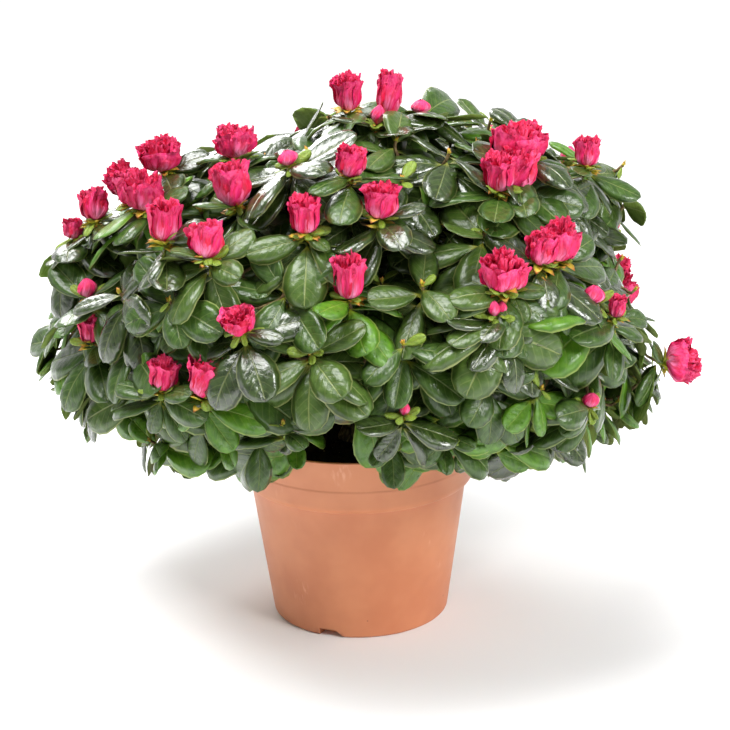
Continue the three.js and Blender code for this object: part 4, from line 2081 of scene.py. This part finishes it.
@dataclass(frozen=True)
class Blade:
    """One form of leaf or scale, a unit long along +X, with its upper side to +Z."""

    bend: float = 30.0
    arch: float = 0.16
    recurve: float = 0.20
    fold: float = 0.0
    width: float = 0.46
    wave: float = 0.04
    twist: float = 0.0
    skew: float = 0.0
    stations: tuple[tuple[float, float], ...] = (
        (0.045, 0.055),
        (0.12, 0.22),
        (0.23, 0.52),
        (0.37, 0.80),
        (0.53, 0.97),
        (0.69, 1.00),
        (0.85, 0.84),
        (0.95, 0.54),
    )
    columns: tuple[float, ...] = (-1.0, -0.62, -0.22, 0.0, 0.22, 0.62, 1.0)
    thickness: float = 0.014

    def spine(self, share: float) -> tuple[Vector, float]:
        """Follows the midrib.

        Args:
            share: The place along it, from 0 to 1.

        Returns:
            The point, and how far the blade has turned down there, in radians.
        """
        point, steps = Vector(), 24
        for i in range(steps):
            at = share * (i + 0.5) / steps
            turned = math.radians(self.bend) * at**1.4
            point += Vector((math.cos(turned), 0.0, -math.sin(turned))) * (share / steps)
        return point, math.radians(self.bend) * share**1.4

    def surface(self, share: float, half: float, side: float) -> Vector:
        """Gives a point of the upper side.

        Args:
            share: The place along the midrib.
            half: Half the blade's width there.
            side: The place across, from -1 to 1.

        Returns:
            The point.
        """
        spine, turned = self.spine(share)
        reach = abs(side)
        rise = self.arch * math.sin(math.pi * min(1.0, reach)) ** 0.8
        rise += self.fold * reach - self.recurve * reach * reach
        lift = half * rise
        lift += self.wave * half * reach * math.sin(math.tau * (1.7 * share + 0.3 * side))
        out = half * side * (1.0 - 0.12 * abs(rise))
        roll = math.radians(self.twist) * share
        out, lift = (
            out * math.cos(roll) - lift * math.sin(roll),
            out * math.sin(roll) + lift * math.cos(roll),
        )
        up = Vector((math.sin(turned), 0.0, math.cos(turned)))
        return spine + Vector((0.0, out + self.skew * share * share, 0.0)) + up * lift

    def build(self, name: str) -> bpy.types.Mesh:
        """Makes the closed thin blade, its upper side and its back on their own map halves.

        Args:
            name: The mesh's name.

        Returns:
            The mesh.
        """
        tip, _ = self.spine(1.0)
        points: list[Vector] = [Vector(), tip + Vector((0.0, self.skew, 0.0))]
        across = len(self.columns)
        rows, backs = [[0] * across], [0]
        for share, wide in self.stations:
            half = 0.5 * self.width * wide
            rows.append([len(points) + j for j in range(across)])
            points += [self.surface(share, half, side) for side in self.columns]
            backs.append(len(points))
            _, turned = self.spine(share)
            down = Vector((math.sin(turned), 0.0, math.cos(turned))) * -self.thickness
            points.append(points[rows[-1][across // 2]] + down)
        rows.append([1] * across)
        backs.append(1)
        shares = [0.0, *(share for share, _ in self.stations), 1.0]
        faces: list[tuple[int, ...]] = []
        corners: list[list[tuple[float, float]]] = []

        def strip(
            near: Sequence[int], far: Sequence[int], sides: tuple[float, float], back: bool
        ) -> None:
            """Adds the faces between two lines of points that share their root and tip.

            Args:
                near: The points of the first line.
                far: The points of the second.
                sides: The lines' places across, from -1 to 1.
                back: Whether they belong to the back.
            """
            first, second = sides
            for i in range(len(shares) - 1):
                j = i + 1
                ring = [(near[i], first, shares[i]), (near[j], first, shares[j])]
                ring += [(far[j], second, shares[j]), (far[i], second, shares[i])]
                if near[i] == far[i]:
                    ring = [(near[i], 0.5 * (first + second), shares[i]), *ring[1:3]]
                if near[j] == far[j]:
                    ring = [ring[0], (near[j], 0.5 * (first + second), shares[j]), ring[3]]
                faces.append(tuple(point for point, _, _ in ring))
                corners.append([map_place(back, side, share) for _, side, share in ring])

        lines = list(zip(*rows))
        for j in range(across - 1):
            strip(lines[j], lines[j + 1], (self.columns[j], self.columns[j + 1]), False)
        strip(backs, lines[0], (0.0, -1.0), True)
        strip(lines[-1], backs, (1.0, 0.0), True)
        return new_mesh(name, points, faces, corners)


LEAF_BLADES = (
    Blade(bend=18, arch=0.10, recurve=0.12, width=0.60),
    Blade(bend=34, arch=0.12, recurve=0.22, width=0.56, twist=8, skew=0.02),
    Blade(bend=50, arch=0.11, recurve=0.22, width=0.62, wave=0.08),
    Blade(bend=-8, arch=0.09, recurve=0.04, fold=0.14, width=0.54, twist=-8),
    Blade(bend=26, arch=0.14, recurve=0.32, width=0.54, skew=-0.03),
    Blade(bend=40, arch=0.10, recurve=0.10, fold=0.12, width=0.58, wave=0.07, twist=14),
    Blade(bend=8, arch=0.12, recurve=0.26, width=0.66, wave=0.06, skew=0.02),
)

LEAF_TIPS = tuple(b.spine(1.0)[0] + Vector((0.0, b.skew, 0.0)) for b in LEAF_BLADES)
"""Where each form's tip lies, bent down from the line that it leaves the shoot along."""

LEAF_MIDDLES = tuple(b.surface(0.6, 0.5 * b.width, 0.0) for b in LEAF_BLADES)
"""A place past the middle of each form."""

SCALE_BLADE = Blade(
    bend=-18,
    arch=0.0,
    recurve=0.5,
    width=0.56,
    wave=0.0,
    stations=((0.1, 0.55), (0.35, 1.0), (0.7, 0.75)),
    columns=(-1.0, 0.0, 1.0),
    thickness=0.05,
)


@dataclass
class Leaves:
    """The leaves of every shoot, in whorls that spread, arch over and look outward."""

    whorl: tuple[int, int] = (5, 7)
    below: tuple[int, int] = (2, 4)
    inner: tuple[int, int] = (5, 7)
    shortest: float = 22 * MM
    longest: float = 37 * MM
    vigour: tuple[float, float] = (0.86, 1.18)
    leaflets: tuple[int, int] = (0, 2)
    leaflets_at_flower: int = 6
    leaflet_pitch: tuple[float, float] = (40.0, 80.0)
    leaflet_length: tuple[float, float] = (7.0, 13.0)
    hang: float = 0.20
    low_hang: float = 1.1
    shortened: float = 0.62
    tries: int = 6
    slack: float = 1.5 * MM
    hem_limit: float = 3 * MM
    edge_limit: float = 4 * MM
    bay_push: float = 6 * MM
    closed_below: float = 160 * MM
    pot_clearance: float = 78 * MM
    rim_clearance: float = 120 * MM
    seed: int = 41
    seats: dict[LeafTone, list[Seat]] = field(
        default_factory=lambda: {tone: [] for tone in LeafTone}
    )

    def grow(self, crown: Crown) -> None:
        """Sets every shoot's leaves.

        Args:
            crown: The crown that carries them.
        """
        self.rng = np.random.default_rng(self.seed)
        self.crown = crown
        for shoot in crown.shoots:
            self.spray(shoot)

    def tone_of(self, shoot: Shoot) -> LeafTone:
        """Deals a tone to a spray: darker and glossier above, fresher below and inside.

        Args:
            shoot: The shoot that carries the spray.

        Returns:
            The tone.
        """
        height = shoot.outward.z
        if shoot.depth > 0.5:
            odds = (0.15, 0.35, 0.25, 0.25)
        elif height > 0.35:
            odds = (0.46, 0.36, 0.14, 0.04)
        elif height > 0.0:
            odds = (0.30, 0.38, 0.18, 0.14)
        else:
            odds = (0.10, 0.34, 0.20, 0.36)
        tones = (LeafTone.DARK, LeafTone.DEEP, LeafTone.OLIVE, LeafTone.FRESH)
        return tones[int(self.rng.choice(len(tones), p=odds))]

    def spray(self, shoot: Shoot) -> None:
        """Sets one shoot's leaves, the youngest nearest its tip.

        Args:
            shoot: The shoot.
        """
        rng = self.rng
        tone = self.tone_of(shoot)
        counts = self.inner if shoot.depth > 0.5 else self.whorl
        whorl = int(rng.integers(counts[0], counts[1] + 1))
        below = 0 if shoot.depth > 0.5 else int(rng.integers(self.below[0], self.below[1] + 1))
        vigour = rng.uniform(*self.vigour)
        turn = rng.uniform(0.0, math.tau)
        for i in range(whorl + below):
            age = i / max(1, whorl - 1)
            turn += GOLDEN_ANGLE + rng.normal(0.0, 0.16)
            pitch = math.radians(60.0 + 30.0 * min(age, 1.3) + rng.normal(0.0, 8.0))
            down = (1.0 + 4.0 * age if shoot.flower else 2.0 + 8.0 * age) * MM
            share = min(1.0, 0.45 + 0.55 * min(1.0, age * 1.3)) * rng.uniform(0.75, 1.08)
            length = vigour * (self.shortest + (self.longest - self.shortest) * share)
            droop = 0.02 + 0.16 * age + rng.normal(0.0, 0.05)
            self.leaf(shoot, turn, pitch, down, length, droop, tone)
        if shoot.depth < 0.5:
            least, most = self.leaflets
            young = int(rng.integers(least, most + 1))
            young += self.leaflets_at_flower if shoot.flower else 0
            for _ in range(young):
                turn += GOLDEN_ANGLE + rng.normal(0.0, 0.3)
                pitch = math.radians(rng.uniform(*self.leaflet_pitch))
                length = rng.uniform(*self.leaflet_length) * MM
                self.leaf(shoot, turn, pitch, 0.5 * MM, length, 0.0, LeafTone.YOUNG)

    def leaf(
        self,
        shoot: Shoot,
        turn: float,
        pitch: float,
        down: float,
        length: float,
        droop: float,
        tone: LeafTone,
    ) -> None:
        """Sets one leaf, kept inside the outline and off the pot.

        Args:
            shoot: The shoot that it grows on.
            turn: Its azimuth round the shoot.
            pitch: Its angle from the shoot's axis.
            down: How far it springs below the shoot's tip.
            length: Its length.
            droop: How strongly it hangs.
            tone: Its colour.
        """
        rng = self.rng
        axis = shoot.axis
        _, along = spoke(axis, UP + Vector((0.01, 0.02, 0.0)), turn, pitch)
        open_side = max(0.0, along.dot(shoot.outward))
        droop += self.low_hang * max(0.0, 0.1 - shoot.outward.z)
        along = (along - UP * (droop + self.hang * open_side)).normalized()
        root = shoot.point - axis * down
        look = axis * 0.9 + shoot.outward * 0.8 + UP * 0.35
        sway = rng.normal(0.0, 0.2)
        wide = rng.uniform(0.88, 1.12) * (0.8 if tone is LeafTone.YOUNG else 1.0)
        size = Vector((1.0, wide, rng.uniform(0.8, 1.2)))
        form = int(rng.integers(0, len(LEAF_BLADES)))
        least = length * self.shortened
        view = self.crown.view
        for _ in range(self.tries):
            turned = self.turned(along, look, sway)
            tip = root + turned @ (LEAF_TIPS[form] * size) * length
            middle = root + turned @ (LEAF_MIDDLES[form] * size) * length
            over = self.crown.overshoot(tip)
            if over is None and (root.z < self.closed_below or shoot.depth > 0.5):
                return
            low = view.below_hem(tip)
            past = max(
                -1.0 if over is None else over - shoot.proud,
                view.above_skyline(tip),
                view.above_skyline(middle),
            )
            in_bay = view.in_bay(tip) or view.in_bay(middle)
            if low > self.slack:
                length = max(least, length - 0.9 * low)
                along = (along + UP * 0.35 * low / length).normalized()
            elif past > self.slack or in_bay:
                outward = (tip - self.crown.centre).normalized()
                excess = max(past, self.bay_push if in_bay else 0.0) / length
                length = max(least, length * (1.0 - 0.25 * excess))
                along = (along - outward * 0.8 * excess).normalized()
            elif self.crown.crosses_flower((tip, middle)):
                along = (along - UP * 0.3).normalized()
            else:
                break
        if low > self.hem_limit or past > self.edge_limit or in_bay:
            return
        if self.crown.crosses_flower((tip, middle)):
            return
        if math.hypot(tip.x, tip.y) < self.pot_clearance and tip.z < self.rim_clearance:
            return
        self.seats[tone].append(Seat(root, turned, tuple(size * length), form))

    @staticmethod
    def turned(along: Vector, look: Vector, sway: float) -> Quaternion:
        """Turns a leaf along a direction, its upper side to the light but for a sway."""
        return facing(along, square_to(look, along) + along.cross(look) * sway)

    def build(self) -> None:
        """Makes one piece of each tone."""
        shapes = [blade.build(f"blade_{i}") for i, blade in enumerate(LEAF_BLADES)]
        scatter = Scatter("leaves on shoots", shapes)
        for i, tone in enumerate(LeafTone):
            finish = LEAF_FINISHES[tone].build()
            piece = scatter.run(f"leaves_{tone.value}", self.seats[tone], finish, self.seed + i)
            hand_over(piece, self.crown.masses)
        scatter.put_away()
        LOG.info("leaves: %d", sum(len(s) for s in self.seats.values()))


@dataclass
class Scales:
    """The small scales that hold a flower's foot, and that close a leafy shoot's bud."""

    around: int = 16
    bud_scales: int = 4
    open_pitch: tuple[float, float] = (48.0, 92.0)
    bud_pitch: tuple[float, float] = (8.0, 22.0)
    bud_length: tuple[float, float] = (3.2, 4.8)
    flower_share: tuple[float, float] = (0.30, 0.56)
    tallest: float = 20 * MM
    flower_fall: float = 4.5
    bud_fall: float = 2.0
    seed: int = 77

    def build(self, crown: Crown) -> None:
        """Sets scales on every shoot of the outer crown.

        Args:
            crown: The crown that carries them.
        """
        rng = np.random.default_rng(self.seed)
        seats = []
        for shoot in crown.shoots:
            if shoot.depth > 0.5:
                continue
            turn = rng.uniform(0.0, math.tau)
            flower = shoot.flower
            count = self.around if flower else self.bud_scales
            for _ in range(count):
                turn += GOLDEN_ANGLE
                pitch = math.radians(rng.uniform(*(self.open_pitch if flower else self.bud_pitch)))
                hint = Vector((0.3, 0.2, 0.9))
                radial, along = spoke(shoot.axis, hint, turn, pitch)
                length = rng.uniform(*self.bud_length) * MM
                if flower:
                    length = rng.uniform(*self.flower_share) * min(flower.height, self.tallest)
                fall = rng.uniform(0.0, self.flower_fall if flower else self.bud_fall)
                root = shoot.point - shoot.axis * fall * MM
                seats.append(Seat(root, facing(along, radial), (length, length, length), 0))
        scatter = Scatter("scales on shoots", [SCALE_BLADE.build("scale")])
        piece = scatter.run("bud_scales", seats, BractFinish().build(), self.seed, spread=0.1)
        scatter.put_away()
        hand_over(piece, crown.masses)


# ---- flowers


@dataclass(frozen=True)
class PetalRing:
    """One ring of petals: how many, how broad and tall, and how far they close and ruffle."""

    count: int
    half_angle: float
    scale: float
    lift: float
    close: float
    ruffle: float
    columns: int
    rows: int
    inner: bool


PLEATS = ((0.60, 5.0, 0.8), (0.40, 10.0, -1.5), (0.22, 17.0, 2.5))
"""Waves across a petal: how high, how many radians from its middle to its edge, and how many
they shift along it."""
RIM_OUT = ((1.0, 9.0, 0.0), (0.35, 16.0, 3.0))
RIM_UP = ((0.7, 7.0, 0.0), (0.25, 14.0, 0.0))


def waves(
    table: Sequence[tuple[float, float, float]],
    across: np.ndarray,
    along: np.ndarray,
    phases: Sequence[float],
) -> np.ndarray:
    """Adds up waves across a petal.

    Args:
        table: Each wave's height, count and shift.
        across: Places across the petal.
        along: Places along it.
        phases: Where each wave starts.

    Returns:
        The sum at each place.
    """
    total = np.zeros_like(across)
    for (high, count, shift), phase in zip(table, phases):
        total = total + high * np.sin(count * across + phase + shift * along)
    return total


@dataclass(frozen=True)
class FlowerShape:
    """One form of double flower, a unit wide and a unit high, its foot at the origin."""

    radii: tuple[float, ...]
    pleat: float
    crumple: float
    curl: float
    roll: float
    twist: float
    uneven: float
    rings: tuple[PetalRing, ...]
    seed: int
    foot_rise: float = 1.3
    rim: float = 0.66

    def petal(
        self, ring: PetalRing, middle: float, rng: np.random.Generator
    ) -> tuple[np.ndarray, np.ndarray]:
        """Shapes one petal.

        Args:
            ring: The ring that it is in.
            middle: Its azimuth, in radians.
            rng: The source of its unevenness.

        Returns:
            Its points, row by row, and their places on the pattern map.
        """
        across = np.linspace(-1.0, 1.0, ring.columns + 1)
        along = np.linspace(0.0, 1.0, ring.rows + 1)
        a, v = np.meshgrid(across, along)
        phase = rng.uniform(0.0, math.tau, 8)
        even = 1.0 - self.uneven
        half = math.radians(ring.half_angle) * rng.uniform(even, 2.0 - even)
        half = half * (0.45 + 0.55 * np.sin(math.pi * 0.60 * v**0.7))
        turn = middle + a * half + math.radians(self.twist) * v
        turn = turn + 0.12 * np.sin(3.0 * v + phase[0]) * v

        radius = bezier(self.radii, v) * ring.scale * rng.uniform(even, 1.0 + 0.4 * self.uneven)
        radius = radius * (1.0 - ring.close * smooth_step(0.45, 1.0, v))
        radius = radius * (1.0 + 0.10 * a * smooth_step(0.0, 0.4, v))
        pleats = waves(PLEATS, a, v, phase[1:4])
        radius = radius + self.pleat * pleats * smooth_step(0.05, 0.45, v)
        radius = radius + self.roll * a**4 * smooth_step(0.15, 0.8, v)
        frill = ring.ruffle * smooth_step(self.rim, 1.0, v)
        radius = radius + frill * waves(RIM_OUT, a, v, phase[4:6])
        radius = radius + self.curl * smooth_step(0.84, 1.0, v)
        radius = np.maximum(radius, 0.01)

        lift = ring.lift * rng.uniform(even, 1.0 + 0.4 * self.uneven)
        height = lift * v**self.foot_rise * (1.0 - 0.12 * a * a * v)
        height = height + frill * waves(RIM_UP, a, v, phase[6:8])
        points = np.stack([radius * np.cos(turn), radius * np.sin(turn), height], -1)
        shift = Vector(rng.uniform(-50, 50, 3))
        for i in range(points.shape[0]):
            for j in range(points.shape[1]):
                at = Vector(points[i, j])
                push = noise.noise_vector(at * 3.5 + shift)
                push += noise.noise_vector(at * 8.0 + shift) * 0.5
                points[i, j] += np.array(push) * self.crumple * along[i] ** 0.8
        return points, np.stack(map_place(ring.inner, a, v), -1)

    def build(self, name: str) -> bpy.types.Mesh:
        """Makes all the petals as one mesh.

        Args:
            name: The mesh's name.

        Returns:
            The mesh.
        """
        noise.seed_set(self.seed)
        rng = np.random.default_rng(self.seed)
        points: list[np.ndarray] = []
        faces: list[tuple[int, ...]] = []
        corners: list[list[tuple[float, float]]] = []
        for ring in self.rings:
            start = rng.uniform(0.0, math.tau)
            for k in range(ring.count):
                middle = start + math.tau * k / ring.count + rng.normal(0.0, self.uneven)
                made, spots = self.petal(ring, middle, rng)
                base, wide = len(points), ring.columns + 1
                points += list(made.reshape(-1, 3))
                for i in range(ring.rows):
                    for j in range(ring.columns):
                        cells = ((i, j), (i, j + 1), (i + 1, j + 1), (i + 1, j))
                        faces.append(tuple(base + r * wide + c for r, c in cells))
                        corners.append([tuple(spots[r, c]) for r, c in cells])
        shaped = np.array(points)
        wide = np.percentile(np.hypot(shaped[:, 0], shaped[:, 1]), 99)
        tall = np.max(shaped[:, 2])
        shaped = shaped / np.array((2.0 * wide, 2.0 * wide, tall))
        return new_mesh(name, shaped, faces, corners)


FLOWER_SHAPES = {
    FlowerForm.BUD: FlowerShape(
        radii=(0.03, 0.50, 0.66, 0.44, 0.06),
        pleat=0.018,
        crumple=0.02,
        curl=0.0,
        roll=0.0,
        twist=45.0,
        uneven=0.04,
        rings=(
            PetalRing(4, 62, 1.0, 1.0, 0.0, 0.006, 14, 12, False),
            PetalRing(3, 60, 0.7, 0.99, 0.0, 0.010, 10, 8, True),
        ),
        seed=1,
        foot_rise=1.0,
    ),
    FlowerForm.GOBLET: FlowerShape(
        radii=(0.03, 0.60, 0.42, 0.44, 0.47),
        pleat=0.048,
        crumple=0.08,
        curl=0.10,
        roll=0.05,
        twist=12.0,
        uneven=0.12,
        rings=(
            PetalRing(5, 50, 1.00, 0.94, 0.08, 0.028, 22, 12, False),
            PetalRing(5, 42, 0.80, 0.99, 0.14, 0.034, 16, 9, True),
            PetalRing(5, 42, 0.60, 1.03, 0.12, 0.044, 14, 8, True),
            PetalRing(4, 50, 0.38, 1.05, 0.12, 0.044, 12, 7, True),
            PetalRing(3, 55, 0.17, 1.02, 0.10, 0.040, 8, 6, True),
        ),
        seed=2,
    ),
    FlowerForm.FOLDED: FlowerShape(
        radii=(0.03, 0.54, 0.46, 0.48, 0.48),
        pleat=0.055,
        crumple=0.12,
        curl=0.07,
        roll=0.10,
        twist=24.0,
        uneven=0.18,
        rings=(
            PetalRing(3, 66, 1.00, 0.95, 0.10, 0.028, 26, 12, False),
            PetalRing(4, 50, 0.80, 0.98, 0.16, 0.034, 20, 10, True),
            PetalRing(4, 48, 0.60, 1.03, 0.12, 0.044, 16, 8, True),
            PetalRing(4, 50, 0.36, 1.04, 0.12, 0.044, 12, 7, True),
            PetalRing(3, 55, 0.17, 1.02, 0.10, 0.040, 8, 6, True),
        ),
        seed=3,
    ),
    FlowerForm.RUFFLED: FlowerShape(
        radii=(0.03, 0.48, 0.50, 0.56, 0.54),
        pleat=0.042,
        crumple=0.11,
        curl=0.05,
        roll=0.05,
        twist=10.0,
        uneven=0.18,
        rings=(
            PetalRing(4, 58, 1.00, 0.82, 0.06, 0.028, 26, 12, False),
            PetalRing(5, 48, 0.86, 0.93, 0.10, 0.032, 20, 10, False),
            PetalRing(5, 44, 0.68, 0.99, 0.12, 0.038, 16, 9, True),
            PetalRing(4, 50, 0.48, 1.04, 0.12, 0.046, 16, 8, True),
            PetalRing(3, 60, 0.26, 1.05, 0.10, 0.046, 12, 7, True),
        ),
        seed=4,
    ),
}


@dataclass
class Blossom:
    """The flowers, each on its shoot's tip."""

    seed: int = 91

    def build(self, crown: Crown) -> None:
        """Sets the flowers and joins them, one piece for each form.

        Args:
            crown: The crown that carries them.
        """
        rng = np.random.default_rng(self.seed)
        shapes = [FLOWER_SHAPES[form].build(f"flower_{form.name.lower()}") for form in FlowerForm]
        scatter = Scatter("flowers on shoots", shapes)
        seats: dict[FlowerForm, list[Seat]] = {form: [] for form in FlowerForm}
        for shoot in crown.shoots:
            flower = shoot.flower
            if flower is None:
                continue
            spin = Quaternion(shoot.axis, rng.uniform(0.0, math.tau))
            turn = spin @ UP.rotation_difference(shoot.axis)
            size = (flower.width, flower.width, flower.height)
            seat = Seat(shoot.point, turn, size, flower.form.value)
            seats[flower.form].append(seat)
        finish = PetalFinish().build()
        for form in FlowerForm:
            piece = scatter.run(f"flowers_{form.name.lower()}", seats[form], finish, self.seed)
            hand_over(piece, crown.masses)
        scatter.put_away()


# ---- the whole plant


def main() -> None:
    """Builds the studio, the pot, and then the plant from its foot to its flowers."""
    logging.basicConfig(level=logging.INFO, format="%(message)s", force=True)
    Studio().build()
    pot = Pot()
    pot.build()
    Peat().build(pot)
    crown = Crown()
    crown.spread()
    Stems().build()
    twigs = Twigs()
    twigs.grow(crown)
    twigs.build(crown.masses)
    leaves = Leaves()
    leaves.grow(crown)
    leaves.build()
    Scales().build(crown)
    Blossom().build(crown)


if __name__ == "__main__":
    main()
